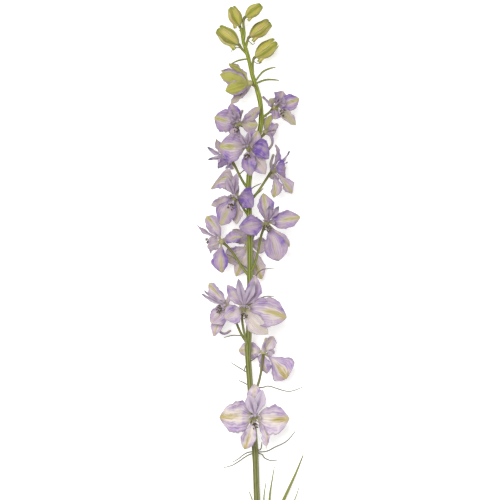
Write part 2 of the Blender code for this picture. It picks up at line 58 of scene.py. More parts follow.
MM = 0.001
MIDDLE = Vector((-5.2, 164, 0))  # of the spike's underside, which is the row's origin
UP_THE_STEM = Vector((0, 1, 0))
TOWARDS_VIEW = Vector((0, 0, 1))
GOLDEN_ANGLE = math.pi * (3 - math.sqrt(5))

# Sizes that the solids have too, in millimetres
FOOT_FLAT = 14.0
STEM_FOOT_RADIUS = 1.7
STEM_TOP_RADIUS = 0.75
PEDICEL_RADIUS = 0.62
THREAD_RADIUS = 0.42
RECEPTACLE_RADIUS = 1.6
SEPAL_ROOT = 1.2
INNER_ROOT_RADIUS = 0.9
SEAT_GAP = 0.4
BLADE_CUP = 0.16
BLADE_RIPPLE = 0.5
CLAW_HALF_WIDTH = 0.7
INNER_CLAW_HALF_WIDTH = 0.45
WING_WIDTH = 3.2
WING_REACH = 7.2  # of a wing's tip from its bloom's centre: ahead, to the side and towards the hood
WING_SPREAD = 3.2
WING_RISE = 0.8
INNER_FULL = 1.15  # where an inner petal is broadest, as full says of a sepal

# Sizes of the finer pieces, in millimetres
PLEAT_PITCH = 2.4  # between the pleats of a sepal
FINE_THICKNESS = 0.3  # of inner petals and of a bud's young sepals
FINE_THREAD_SHARE = 0.7  # of a bract's thickness, for the bracteoles that the solids lack

# How dark the hood's tips are, by the number of the bloom, and in the others
BRUISED = {3: 0.6, 4: 0.5, 7: 0.8, 9: 1.0, 11: 1.0}
FAINT_BRUISE = 0.15
LEAFY_BRACT = 0.35  # how brown the broad bracts near the buds are

# Steps along and across each kind of blade, and along each kind of rod
SEPAL_STEPS = (36, 26)
INNER_PETAL_STEPS = (20, 10)
BUD_SEPAL_STEPS = (30, 16)
STEM_STEPS = 260
STALK_STEPS = 24
THREAD_STEPS = 24
SPUR_STEPS = 22
BUD_SPUR_STEPS = 14
LEAF_STALK_STEPS = 14
LOBE_STEPS = 40

# The stage, in metres. The photo is 500 pixels high and shows 275 mm of the spike at its stem's level
PAPER_REACH = 1.5
PAPER_GLOW = 0.44
SKY_STRENGTH = 0.42
VIEW_MIDDLE = (-0.0003, 0.0285)
STEM_LEVEL = 0.018
SHOWN_LENGTH = 0.275
LAMP_AIM = (0, 0.03, 0)
LAMPS = (("overhead", (-0.25, 0.25, 1.2), 0.55, 13.0), ("fill", (0.9, -0.4, 0.8), 0.7, 2.0))

# The stem's axis from its cut end to its tip, as (across, along, height)
STEM_ROUTE = (
    (0, 0, STEM_FOOT_RADIUS),
    (-0.1, FOOT_FLAT, STEM_FOOT_RADIUS),
    (-0.8, 30, 2.6),
    (-1.9, 58, 5.0),
    (-2.9, 85, 7.8),
    (-5.4, 116.5, 10.9),
    (-6.7, 136, 12.7),
    (-6.2, 146, 13.6),
    (-5.6, 165, 15.2),
    (-5.5, 188, 16.8),
    (-5.9, 210, 17.9),
    (-6.2, 230, 18.6),
    (-3.5, 246, 19.0),
    (0.2, 259.8, 19.3),
    (0.6, 267, 19.4),
    (0, 274, 19.4),
    (-1.5, 280.3, 19.4),
    (-3.1, 285, 19.4),
    (-4.6, 290, 19.3),
    (-6.1, 296.7, 19.2),
    (-7.4, 301.8, 19.1),
    (-9.0, 306.4, 19.0),
    (-9.9, 311.9, 18.9),
    (-10.5, 314.6, 18.8),
)

# A sepal's tip is measured from the centre of its bloom. Bow arches it towards the side that the bloom
# faces and sway bends it sideways, both as shares of its length; roll turns it about its own length.
# full moves its broadest place towards the tip.
# tone is how violet it is, stripe how strong its yellow-green midrib, green how green it is all over.
# fold creases it along the midrib and curl bends its tip towards the face, or away where it is negative.
Sepal = namedtuple(
    "Sepal", "tip width bow roll sway full tone stripe green fold curl",
    defaults=(0.12, 0, 0, 1.15, 0.35, 0.5, 0, 0.25, 0),
)

# axil: how far up the stem the pedicel leaves it. centre: (across, along). rise: height over the stem.
# face: the way the bloom looks. arrive: the way the pedicel runs where it meets the bloom.
# spur: points that the spur passes after the centre, measured from it. hood: the tips of the two upper
# inner petals and their width, or none where a bloom is only half open.
Bloom = namedtuple("Bloom", "name axil centre rise face arrive spur hood hood_width sepals")

BLOOMS = (
    Bloom(
        "bloom_01", 82, (-3, 100.5), 10, (0.05, -0.1, 1), (0.1, 0.5, 0.85),
        ((1.5, 3, -5), (3, 8.5, -9)), ((-3.4, 13.2, 6.5), (4.4, 15.6, 6.5)), 6.6,
        (
            Sepal((0, 18.5, 0), 9, tone=0.3, stripe=0.4),
            Sepal((19.2, -0.4, 3), 16.5, 0.12, 0, -0.04, full=1.05, tone=0.4, stripe=1, fold=0.2),
            Sepal((6.3, -17.7, 1), 6, -0.1, 55, 0.17, tone=0.5, stripe=0.6, fold=0.7),
            Sepal((-5.5, -17.5, 2), 8.4, full=1.6, tone=0.2, stripe=1, fold=0.5),
            Sepal((-19.4, 0.2, 3), 18, 0.12, 0, -0.05, full=0.95, tone=0.35, stripe=1, fold=0.2),
        ),
    ),
    Bloom(
        "bloom_02", 111, (1.9, 136.2), 2.5, (0.45, 0.1, -0.88), (0.1, 0.9, -0.4),
        ((0, 3.5, 4), (1.5, 8, 7)), ((5, 4, -8), (6.5, -1, -8)), 4,
        (
            Sepal((5.7, 8.8, 2.8), 7, tone=0.1, stripe=0.3),
            Sepal((13, -14.4, 2), 16.5, 0.12, 0, -0.02, full=2.1, tone=0.5, stripe=1, fold=0.4),
            Sepal((1.8, -12, -2.5), 7, -0.12, tone=0.6),
            Sepal((-2.4, -6, -3.5), 5, 0.05, tone=0.7),
            Sepal((-14, 0.8, -10.5), 10, full=1.4, tone=0.3, stripe=0.7),
        ),
    ),
    Bloom(
        "bloom_03", 141, (-17, 160.6), 0, (-0.83, 0.21, 0.52), (-0.5, 0.85, -0.1),
        ((-0.5, -1.5, -5), (-3, -8, -6.5), (-5.2, -12.6, -5), (-2.6, -14.4, -4.5), (1, -12.5, -4)),
        ((-15.5, 8, 1.5), (-14, 9.8, -1)), 2.6,
        (
            Sepal((-11.4, 13.5, -7), 9.5, 0.12, 0, -0.07, full=1.3, tone=0.35, stripe=1, fold=0.4),
            Sepal((-10.3, -8, 6), 10, -0.1, 116, tone=0.4, stripe=0.3),
            Sepal((-8.6, -15.8, 2), 7.4, -0.05, -25, -0.1, full=1.3, tone=0.45, stripe=0.6, fold=0.6),
            Sepal((-6, 0, -10.5), 8, tone=0.5),
            Sepal((0, 7, -9), 7, tone=0.5),
        ),
    ),
    Bloom(
        "bloom_04", 139, (-9, 160.6), 10, (0.05, -0.1, 1), (0.2, 0.5, 0.8),
        ((1, 4, -4), (3.5, 9, -6.5)), ((-2.9, 16.4, 8), (6, 15, 8)), 4.6,
        (
            Sepal((6.5, 18, 2), 8.5, 0.12, 0, -0.1, tone=0.6, stripe=0.2, fold=0.4),
            Sepal((23.6, -5, 3), 16.5, 0.12, 0, 0.06, tone=0.4, stripe=0.9, fold=0.3),
            Sepal((13.5, -14.3, 2.5), 9.5, 0.22, 0, -0.06, tone=-0.1, stripe=0.3),
            Sepal((-10.5, -5.2, 3), 11, tone=0.35, stripe=0.3),
            Sepal((-9, 13, 3), 6.5, tone=0.6, stripe=0.2, fold=0.4),
        ),
    ),
    Bloom(
        "bloom_05", 178, (-21.2, 197.2), -1, (-0.85, 0.3, 0), (-0.75, 0.6, 0.1),
        ((2, 1.5, -4), (5, 3, -7.5)), ((-14.2, 9.6, 0.5), (-12.4, 8.2, 6)), 2.6,
        (
            Sepal((-8.6, 14, -11), 9, 0.02, 35, -0.08, full=1.4, tone=0.4, stripe=1, fold=0.4),
            Sepal((-7.8, -2.8, 6.5), 8, -0.1, 30, tone=0.3, stripe=0.3),
            Sepal((0.4, -17.3, 4), 9.5, 0.12, -65, full=1.5, tone=0.75, stripe=0.9, fold=0.6),
            Sepal((-6, -6, -9), 8, tone=0.4),
            Sepal((11.6, 2.5, 5.5), 7, 0.12, 35, tone=0.65, stripe=0.9, fold=0.5),
        ),
    ),
    Bloom(
        "bloom_06", 174, (-6.1, 195.1), -7.5, (0.05, -0.25, -0.97), (0, 0.6, -0.8),
        ((2, 4, 2), (4, 8.5, 2)), ((2, 4, -6.5), (-2, 4, -6.5)), 4,
        (
            Sepal((-9, 9, -4), 8, tone=0.4, stripe=0.4),
            Sepal((-13.2, -8.5, -0.5), 11, full=1.4, tone=0.2, stripe=0.4),
            Sepal((-7.2, -17.3, 1.2), 8, tone=0.1, stripe=1),
            Sepal((7.2, -18.9, 2), 9, tone=0.05, stripe=1),
            Sepal((11, 1, -0.8), 9, tone=0.3, stripe=0.4),
        ),
    ),
    Bloom(
        "bloom_07", 180, (3.6, 207.2), 7.5, (0.2, 0, 0.98), (0.4, 0.7, 0.55),
        ((1, 4, -4.5), (2.5, 8.5, -8)), ((6.7, 9.3, 7), (1.5, 9.5, 7.5)), 3.6,
        (
            Sepal((-1.8, 16.4, 2), 9, tone=0.45, stripe=1, fold=0.5),
            Sepal((18.5, 3.4, 2), 10, tone=0.45, stripe=0.9, fold=0.4),
            Sepal((12.6, -12.9, -0.7), 5, full=2.1, tone=0.3, stripe=1),
            Sepal((6.5, -20.8, 3.8), 14, 0.15, full=1.9, tone=0.55, stripe=0.3, fold=0.6),
            Sepal((-15.2, -2.4, 4.6), 11, tone=0.7, stripe=0.3, fold=0.3),
        ),
    ),
    Bloom(
        "bloom_08", 211, (-13.2, 221.9), 6, (-0.35, -0.3, 0.89), (-0.4, 0.6, 0.65),
        ((1, 4.5, -3), (0, 9.5, -6)), ((-5, 10, 6.5), (0.5, 12.5, 7)), 5,
        (
            Sepal((-14, 4, 1), 12, 0.02, 0, -0.68, tone=0.25, stripe=0.8, fold=0.3),
            Sepal((9.6, -5.9, 4), 12, 0.12, 0, 0.42, tone=0.9, stripe=0.2, fold=0.5),
            Sepal((0.3, -15.5, -0.7), 7, -0.04, tone=0.1, stripe=0.3),
            Sepal((-8.5, -16, -1.5), 11, tone=0.6, stripe=0.7, fold=0.4),
            Sepal((-13.7, -5, -1.2), 6, 0, tone=0.4, stripe=0.3),
        ),
    ),
    Bloom(
        "bloom_09", 219, (7, 236.5), -1, (0.78, 0.12, -0.62), (0.55, 0.75, -0.2),
        ((-1, 3.5, 4), (0.5, 8.5, 5.5)), ((9.6, 11.1, -4), (8.5, 5, -7.5)), 2.6,
        (
            Sepal((2.5, 14.1, -1), 5, tone=0.6, stripe=0.2, fold=0.5, curl=-0.3),
            Sepal((7, 0.5, 5), 10, 0.25, tone=0.8, stripe=0.2),
            Sepal((10.8, -13, 2), 8, 0.12, 0, 0.06, full=1.8, tone=0.25, stripe=0.8),
            Sepal((0.6, -15.4, 0), 8.5, full=1.7, tone=0.3, stripe=1),
            Sepal((-2, -3.5, -17.6), 8, tone=0.4, stripe=0.5),
        ),
    ),
    Bloom(
        "bloom_10", 234, (-6.5, 248.5), 10.5, (-0.1, -0.25, 0.96), (-0.1, 0.6, 0.75),
        ((-2, 3, -4.5), (-4.5, 7.5, -7.5)), ((-4.2, 7.1, 8.5), (0.4, 8.4, 8.5)), 3.2,
        (
            Sepal((5.5, 9, 4), 9, tone=0.5, stripe=0.8, fold=0.4),
            Sepal((11.4, -6.3, 3.6), 11, 0.2, 0, 0.35, tone=0.9, stripe=0.3, fold=0.6),
            Sepal((9.5, -14.7, 1.7), 9, 0.03, tone=0.15, stripe=0.3),
            Sepal((1.3, -15.6, 1.9), 8, 0.16, tone=0.6, stripe=0.2, fold=0.4),
            Sepal((-15.6, 0.8, 3.5), 16, tone=0.45, stripe=1, fold=0.2),
        ),
    ),
    Bloom(
        "bloom_11", 226, (-15.8, 242.1), -4, (-0.865, 0.2, -0.458), (-0.5, 0.8, -0.3),
        ((3.5, 2, 1), (6.5, 6.5, -0.5)), ((-13.6, 7.6, -2), (-13.2, 0.4, -5.5)), 2.6,
        (
            Sepal((-8.5, 11.6, 7.5), 4, tone=0.3, stripe=0.3),
            Sepal((-7.6, -4.4, 5.5), 6, tone=0.8, stripe=0.2, fold=0.4),
            Sepal((1, -5.2, -1.2), 6, tone=0.7),
            Sepal((1, -2, -14.8), 8, tone=0.4, stripe=0.4),
            Sepal((2, 9, -6), 7, tone=0.5),
        ),
    ),
    Bloom(
        "bloom_12", 256, (-11.6, 261.5), 3.5, (-0.25, 0, 0.97), (-0.6, 0.3, 0.75),
        ((0.5, 3.5, -4.5), (2, 8, -7.5)), ((-5, 5, 7), (-1, 6.5, 7.5)), 3.8,
        (
            Sepal((-4.6, 11.3, 0.7), 7.5, 0, tone=0.6, stripe=0.2, fold=0.4),
            Sepal((11.5, 9.5, 2), 6, 0.12, 0, -0.1, full=1.3, tone=0.4, stripe=0.6, green=0.3),
            Sepal((10.5, -0.6, 2), 9, tone=0.4, stripe=0.8, green=0.3),
            Sepal((-4.5, -6, 1.5), 8.5, tone=0.5, stripe=0.2),
            Sepal((-13.5, 3.6, 1.7), 13.5, tone=0.55, stripe=1, fold=0.3),
        ),
    ),
    Bloom(
        "bloom_13", 264.5, (7.8, 271.1), 0, (0.55, 0, 0.83), (0.6, 0.7, 0.3),
        ((-3, 2.5, -2.5), (-6.3, 5.9, -3.5)), ((2.8, 5.4, 6.5), (5.8, 4.2, 6.5)), 3.4,
        (
            Sepal((5, 8.8, 0.4), 9.5, tone=0.55, stripe=0.3),
            Sepal((13.9, 4.6, -1.5), 9, tone=0.6, stripe=1, fold=0.3),
            Sepal((12, -10, -1.3), 6.5, tone=0.05, stripe=0.4, green=0.4),
            Sepal((0.5, -7, 1.5), 8, tone=0.6, stripe=0.2),
            Sepal((-3, 4, 5), 6, tone=0.3, stripe=0.6, green=0.3),
        ),
    ),
    Bloom(
        "bloom_14", 252.5, (2.9, 257.4), -2.8, (0.55, 0.8, -0.2), (0.5, 0.75, -0.4),
        ((3.1, -1.9, -1), (3.9, -6, -1.5), (1.8, -9.6, -2)), (), 0,
        (
            Sepal((3.7, 9.4, 2.5), 5, -0.14, tone=0.2, stripe=1, green=0.8),
            Sepal((7.2, 4.6, 1.5), 5.5, -0.12, tone=0.35, stripe=0.3),
            Sepal((6, 0.4, -1.5), 5, -0.12, 60, tone=0.5, stripe=0.2),
            Sepal((5, 5, -5.5), 5.5, -0.16, tone=0.4, stripe=0.5),
            Sepal((0.8, 9, -3.5), 5.5, -0.12, tone=0.3, stripe=0.8, green=0.5),
        ),
    ),
    Bloom(
        "bloom_15", 277, (-5.5, 284.1), 1.9, (-0.95, 0, 0.2), (-0.8, 0.45, 0.2),
        ((-1.5, -3.5, -4), (-4, -6.5, -6), (-7.5, -8.5, -7)), (), 0,
        (
            Sepal((-11.9, 10.9, -0.5), 7, -0.12, 30, tone=0.3, stripe=1, green=0.85),
            Sepal((-16.2, 7.2, -5.5), 7.5, -0.1, tone=0.5, stripe=0.6, green=0.3),
            Sepal((-16.6, 4.4, 5), 8.5, -0.14, -75, tone=0.3, stripe=1, green=0.9),
            Sepal((-13.6, -4.6, 5), 9, -0.16, 71, tone=0.5, stripe=1, green=0.95),
            Sepal((-10.6, -11.2, -2.5), 6.5, -0.06, -25, tone=0.3, stripe=0.3, green=0.3),
        ),
    ),
)

# Closed buds. base and tip are (across, along); rise is the height over the stem's axis. blush is how
# reddish the bud is, and gape how far its tip has begun to open.
Bud = namedtuple("Bud", "name axil base tip rise width blush gape")
BUDS = (
    Bud("bud_1", 288.8, (-2.6, 298.6), (9.1, 307.3), -2.0, 7.8, 0.2, 0.5),
    Bud("bud_2", 303.8, (-5.6, 309.6), (5.6, 317.8), 1.5, 7.2, 0.6, 0.5),
    Bud("bud_3", 299.4, (-11.9, 305.4), (-23.2, 314.4), 1.5, 8.2, 0.3, 0.45),
    Bud("bud_4", 313.6, (-11.2, 315.6), (-15.8, 326.4), -0.5, 6.6, 0.6, 0.4),
    Bud("bud_5", 308.5, (-7.9, 320.6), (1.0, 327.1), 0.5, 6.0, 0.3, 0.3),
)

# Thread-like bracts and bracteoles. carrier is the stem, with how far up it, or a bloom, with the share
# of its pedicel's length. route is (across, along, height over the stem's axis) from there. broad is
# how many times wider than a thread it is.
Thread = namedtuple("Thread", "carrier place route broad", defaults=(1.0,))
THREADS = (
    Thread("stem", 80.6, ((3.6, 81.1, 1), (8.5, 83.6, 2), (13, 85.7, 2.5), (16, 88, 3), (19.4, 92.4, 4))),
    Thread("stem", 80.4, ((1.1, 79.2, -1), (2.6, 77.2, -1.5), (6.1, 75.7, -2), (9.8, 76, -2))),
    Thread("stem", 81.5, ((0.4, 82.2, 0.5), (1.0, 86.2, 0.5))),
    Thread("stem", 80.8, ((-6.6, 80.4, 0), (-9.7, 78.7, 0), (-11.8, 76.9, 0), (-15.7, 74.8, 1))),
    Thread("stem", 80.2, ((-6.8, 78.6, -1.5), (-11.8, 75.2, -2), (-15.5, 73, -2), (-20.2, 71.7, -2))),
    Thread("stem", 116, ((1.5, 116.5, -2), (5.3, 117.1, -2.5), (15.8, 114.2, -3), (24.2, 116.9, -2))),
    Thread("stem", 117, ((-8.6, 119, -1), (-11.8, 120.4, -2))),
    Thread("stem", 124, ((-9.4, 126.2, -1), (-16.2, 130.4, -2))),
    Thread("stem", 130, ((-8.0, 128.2, 1), (-8.8, 125.4, 1))),
    Thread("stem", 130.5, ((-3.4, 132.2, 1.2), (-1.2, 134.2, 1.5))),
    Thread("bloom_03", 0.25, ((-14.9, 145.4, 0), (-20, 144.2, 0))),
    Thread("stem", 163, ((-0.6, 165.6, -3), (3.6, 166.9, -4), (7.8, 166.9, -4))),
    Thread("stem", 175, ((-2.7, 177.4, 1.5), (-1.2, 179.8, 2), (1.9, 181.9, 2), (7.8, 182.5, 2))),
    Thread("stem", 181.5, ((-9.9, 184.4, -1.5), (-14.9, 188.4, -2), (-18.3, 190.1, -2))),
    Thread("stem", 224.6, ((-3.6, 227, 1), (0.7, 229.1, 1.5))),
    Thread("stem", 222, ((-1.6, 223.4, -2), (1.9, 226.6, -2.5))),
    Thread("bloom_11", 0.55, ((-8.6, 236.4, -2), (-6.4, 236.6, -2.5))),
    Thread("stem", 284.6, ((1.1, 290, -0.5), (4.9, 292.1, -0.5), (8.6, 293, -1)), 2.1),
    Thread("stem", 283.8, ((3.6, 286, 1), (10.7, 285.6, 2)), 2.1),
    Thread("stem", 297.6, ((-11.6, 296.7, 0.5), (-16.2, 294.6, 1)), 1.9),
)
# Bracteoles too fine for the solids: near the end of a bud's stalk
FINE_THREADS = (
    Thread("bud_3", 0.7, ((-12.4, 303.7, 1.2), (-14.6, 303.3, 1.2), (-16.2, 300.6, 1))),
    Thread("bud_2", 0.7, ((-5.0, 306.2, 1), (-4.0, 305.4, 1.2), (-2.6, 306.3, 1.2))),
    Thread("bud_1", 0.8, ((-1.9, 295.2, -1), (-0.4, 295.0, -1), (1.2, 295.9, -1))),
)

# The divided leaf near the cut end: its short stalk, and its lobes, which leave the end of it
LEAF_STALK = ((2.3, 24, 2.5), (3.9, 27.5, 2.4), (4.6, 32, 2.3))
LEAF_LOBES = (
    ((4.5, 31, 2.3), (7, 39, 2.4), (11, 49, 2.6), (16, 60, 3.4), (20.5, 70, 4.6), (24, 79, 6.5)),
    ((4.5, 31, 2.3), (4.8, 42, 2.6), (5.4, 55, 3.4), (6.3, 62, 4.6), (8, 72.5, 7)),
    ((4.8, 42.5, 2.6), (3.0, 49, 2.8), (2.2, 55, 3.6), (3.6, 65, 5)),
    ((4.5, 31, 2.3), (9.5, 38, 1.6), (15, 46, 1.4), (19.4, 54, 1.6), (22, 61.6, 2.2)),
    ((9.5, 38.2, 1.6), (16, 41, 1.2), (25, 50, 1.2)),
    ((4.5, 31, 2.3), (10, 33, 1.4), (17, 34.5, 1.0), (23.5, 38, 1.0)),
    ((4.5, 31, 2.3), (2.4, 35.5, 1.0), (-1.5, 43, 0.85), (-3.9, 52.3, 1.2), (-6.2, 58.9, 2.5)),
)
LOBE_STOUTNESS = (1.75, 1.2, 0.9, 0.8, 0.8, 0.8, 0.95)


def linear(hex_colour):
    """An sRGB hex value as linear RGBA."""
    parts = [int(hex_colour[i : i + 2], 16) / 255 for i in (1, 3, 5)]
    return tuple(c / 12.92 if c <= 0.04045 else ((c + 0.055) / 1.055) ** 2.4 for c in parts) + (1.0,)


def colour_property(name, description, hex_colour):
    return FloatVectorProperty(
        name=name, description=description, subtype="COLOR", size=4, min=0, max=1, default=linear(hex_colour)
    )


def size_property(name, description, millimetres, low, high):
    return FloatProperty(
        name=name, description=description, subtype="DISTANCE", unit="LENGTH",
        default=millimetres * MM, min=low * MM, max=high * MM,
    )


class LarkspurSizes(bpy.types.PropertyGroup):
    sepal_thickness: size_property("Sepal thickness", "Thickness of a sepal at its middle", 0.34, 0.1, 0.8)
    ruffle: size_property("Ruffle", "How far a sepal's edge waves", 0.55, 0, 2)
    crumple: size_property("Crumple", "How uneven a sepal's surface is", 0.4, 0, 2)
    stamen_length: size_property("Stamen length", "Length of the column of stamens", 6.0, 2, 10)
    anther: size_property("Anther length", "Length of one pollen sac", 1.15, 0.3, 2)
    stamens: IntProperty(name="Stamens", description="Stamens in a bloom", default=28, min=4, max=40)


class LarkspurColours(bpy.types.PropertyGroup):
    sepal_cream: colour_property("Sepal, cream", "Washed-out tissue beside the midrib", "#DDD3CA")
    sepal_pale: colour_property("Sepal, pale", "Paler parts of a sepal", "#D2C5CE")
    sepal_mid: colour_property("Sepal, lavender", "Most of a sepal", "#C1AEC4")
    sepal_strong: colour_property("Sepal, lilac", "Its stronger zones", "#AB94C0")
    sepal_deep: colour_property("Sepal, violet", "Its deepest zones", "#795DAF")
    sepal_vein: colour_property("Sepal veins", "Fine veins and the margin", "#76637D")
    # Painted shade, multiplied into the upper blooms where their sepals overlap and crumple
    sepal_shade: colour_property("Sepal shade", "Dulls the upper blooms", "#E5E1E4")
    midrib_green: colour_property("Midrib, green", "Stripe and tip of the upper sepals", "#A3A046")
    midrib_mustard: colour_property("Midrib, mustard", "Stripe and tip of the lower sepals", "#B09E4A")
    midrib_line: colour_property("Midrib lines", "Dark lines along the stripe", "#6B6128")
    half_open: colour_property("Half-open green", "Sepals that are still green", "#A3A245")
    inner_pale: colour_property("Inner petal", "The hood and the wings", "#D3C9D0")
    inner_line: colour_property("Inner petal lines", "Violet lines along the inner petals", "#746285")
    inner_bruise: colour_property("Inner petal tips", "Dark tips of the older hoods", "#5F6478")
    stem_top: colour_property("Stem, top", "Fresh green near the buds", "#8E972C")
    stem_middle: colour_property("Stem, middle", "Green between the blooms", "#858E39")
    stem_foot: colour_property("Stem, foot", "Greyer green near the cut end", "#888852")
    stalk_brown: colour_property("Stalk end", "Where a stalk meets its bloom", "#5E5030")
    # Real dark streaks, with painted shade in the stem's furrows
    stem_streak_and_furrow_shade: colour_property("Stem, streaks", "Dark streaks and furrows of the stem", "#3F4A14")
    pith: colour_property("Pith", "The stem's cut face", "#C9CE9C")
    leaf_rib: colour_property("Leaf rib", "Paler ridge of a leaf lobe", "#B7BC80")
    bract: colour_property("Bract", "Thread-like bracts", "#675F42")
    bud_olive: colour_property("Bud", "Closed buds", "#B8B24C")
    bud_green: colour_property("Bud, green", "Their ridges and tips", "#71801F")
    bud_margin: colour_property("Bud, margin", "Papery margins of the young sepals", "#C6BE86")
    bud_blush: colour_property("Bud, blush", "Their reddish tinge", "#BF9268")
    anther: colour_property("Anther", "Pollen sacs", "#54492A")
    filament: colour_property("Filament", "The stamens' threads", "#DCCFDD")
    floor: colour_property("Floor", "The paper that the spike lies on", "#F7F7F6")


def sizes():
    return bpy.context.scene.larkspur_sizes


def colours():
    return bpy.context.scene.larkspur_colours


def shares(count):
    """Evenly spaced numbers from 0 to 1."""
    return [i / (count - 1) for i in range(count)]


def along(points, share):
    """The point at this share, 0 to 1, of the smooth curve through the given points."""
    place = min(max(share, 0.0), 1.0) * (len(points) - 1)
    first = min(int(place), len(points) - 2)
    t = place - first
    a = points[max(first - 1, 0)]
    b, c = points[first], points[first + 1]
    d = points[min(first + 2, len(points) - 1)]
    return 0.5 * (2 * b + (c - a) * t + (2 * a - 5 * b + 4 * c - d) * t**2 + (3 * b - a - 3 * c + d) * t**3)


def smooth(points, count):
    points = [Vector(p) for p in points]
    return [along(points, share) for share in shares(count)]


def stem_at(height):
    """The stem's axis this far up from its cut end."""
    for low, high in zip(STEM_ROUTE, STEM_ROUTE[1:]):
        if height <= high[1]:
            share = (height - low[1]) / (high[1] - low[1])
            return Vector(low).lerp(Vector(high), share)
    return Vector(STEM_ROUTE[-1])


def over_stem(across, height, rise):
    return Vector((across, height, stem_at(height).z + rise))


def square_to(direction, axis):
    """The part of a direction that is perpendicular to the axis, with length 1."""
    axis = axis.normalized()
    return (direction - axis * direction.dot(axis)).normalized()


def bloom_centre(bloom):
    return over_stem(*bloom.centre, bloom.rise)


def bloom_axes(bloom):
    """The way a bloom looks, the way its hood leans, and the way across it."""
    face = Vector(bloom.face).normalized()
    crown = square_to(sum((Vector(tip) for tip in bloom.hood), Vector()), face)
    return face, crown, crown.cross(face)


def pedicel_points(start, end, arrive, out):
    """A slender stalk's route from inside the stem to its end, which it reaches along arrive."""
    reach = (end - start).length
    first = start + out * reach * 0.35
    last = end - arrive * reach * 0.35
    return [
        start * (1 - t) ** 3 + first * 3 * t * (1 - t) ** 2 + last * 3 * t**2 * (1 - t) + end * t**3
        for t in shares(STALK_STEPS)
    ]


def bloom_stalk(bloom):
    arrive = Vector(bloom.arrive).normalized()
    end = bloom_centre(bloom) - arrive * (RECEPTACLE_RADIUS + SEAT_GAP)
    start = stem_at(bloom.axil)
    out = (square_to(end - start, UP_THE_STEM) + UP_THE_STEM * 0.9).normalized()
    return pedicel_points(start, end, arrive, out) + [end + arrive * 1.2]


def bud_ends(bud):
    return over_stem(*bud.base, bud.rise), over_stem(*bud.tip, bud.rise + 0.5)


def bud_stalk(bud):
    base, tip = bud_ends(bud)
    arrive = (tip - base).normalized()
    end = base - arrive * 2 * SEAT_GAP
    start = stem_at(bud.axil)
    out = (square_to(end - start, UP_THE_STEM) + UP_THE_STEM * 1.5).normalized()
    return pedicel_points(start, end, (arrive + UP_THE_STEM).normalized(), out) + [end + arrive * 1.4]


def linked(name, data):
    """An object in the scene that holds this mesh, light or camera."""
    obj = bpy.data.objects.new(name, data)
    bpy.context.scene.collection.objects.link(obj)
    return obj


class Gathered:
    """Vertices, faces, UVs and per-vertex marks of one piece, gathered part by part, in millimetres."""

    def __init__(self, *marks):
        self.points, self.faces, self.uv = [], [], []
        self.marks = {mark: [] for mark in marks}

    def add(self, points, faces, uv, **marks):
        offset = len(self.points)
        self.points.extend(points)
        self.faces.extend(tuple(offset + k for k in face) for face in faces)
        for face in faces:
            self.uv.extend(uv[k] for k in face)
        for mark, values in self.marks.items():
            values.extend([marks.get(mark, 0.0)] * len(points))

    def made(self, name):
        """The piece as an object in the row frame."""
        mesh = bpy.data.meshes.new(name)
        places = (np.array(self.points, float) - np.array(MIDDLE)) * MM
        mesh.from_pydata(places.tolist(), [], self.faces)
        layer = mesh.uv_layers.new(name="UVMap")
        layer.data.foreach_set("uv", np.array(self.uv, np.float32).ravel())
        for mark, values in self.marks.items():
            attribute = mesh.attributes.new(mark, "FLOAT", "POINT")
            attribute.data.foreach_set("value", np.array(values, np.float32))
        mesh.shade_smooth()
        mesh.validate()
        return linked(name, mesh)


def dress(obj, material, node):
    """Gives a finished piece its material and the place of the solid that it replaces."""
    obj.data.materials.clear()
    obj.data.materials.append(material)
    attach(obj, "root")
    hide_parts(node)


def shell_faces(rows, columns):
    """Faces of a thin closed sheet that ends in a point, with its two sides joined along their rim."""
    inner = [[i * (columns + 1) + j for j in range(columns + 1)] for i in range(rows)]
    tip = rows * (columns + 1)
    count = tip + 1
    outer = []
    for i in range(rows):
        line = []
        for j in range(columns + 1):
            if i == 0 or j in (0, columns):
                line.append(inner[i][j])
            else:
                line.append(count)
                count += 1
        outer.append(line)
    faces = []
    for j in range(columns):
        for i in range(rows - 1):
            a, b, c, d = inner[i][j], inner[i + 1][j], inner[i + 1][j + 1], inner[i][j + 1]
            faces.append((a, b, c, d))
            a, b, c, d = outer[i][j], outer[i + 1][j], outer[i + 1][j + 1], outer[i][j + 1]
            faces.append((d, c, b, a))
        faces.append((inner[-1][j], tip, inner[-1][j + 1]))
        faces.append((outer[-1][j + 1], tip, outer[-1][j]))
    return faces


def shell_points(grid, thickness, rows, columns):
    """The sheet's vertices, in the order that shell_faces counts them, from a grid of its middle surface."""
    across = np.gradient(grid, axis=1)
    length = np.gradient(grid, axis=0)
    normal = np.cross(length, across)
    size = np.linalg.norm(normal, axis=2, keepdims=True)
    normal = normal / np.maximum(size, 1e-9)
    normal[-1] = normal[-2]
    share = np.linspace(-1, 1, columns + 1)[None, :, None]
    along_share = np.linspace(0, 1, rows + 1)[:, None, None]
    half = thickness / 2 * (1 - 0.85 * share**4) * (1 - 0.6 * along_share**3)
    half = half * (np.abs(share) < 1) * (along_share > 0)
    inner = (grid + normal * half)[:rows].reshape(-1, 3)
    outer = (grid - normal * half)[1:rows, 1:columns].reshape(-1, 3)
    return np.vstack([inner, grid[rows, columns // 2][None], outer])


def shell_uv(rows, columns):
    t, s = np.meshgrid(np.linspace(0, 1, rows + 1), np.linspace(0, 1, columns + 1), indexing="ij")
    both = np.stack([t, s], axis=2)
    inner, outer = both[:rows].reshape(-1, 2), both[1:rows, 1:columns].reshape(-1, 2)
    return np.vstack([inner, [[1, 0.5]], outer]).tolist()


# Faces and UVs of the sheets made so far, by rows and columns
SHELLS = {}


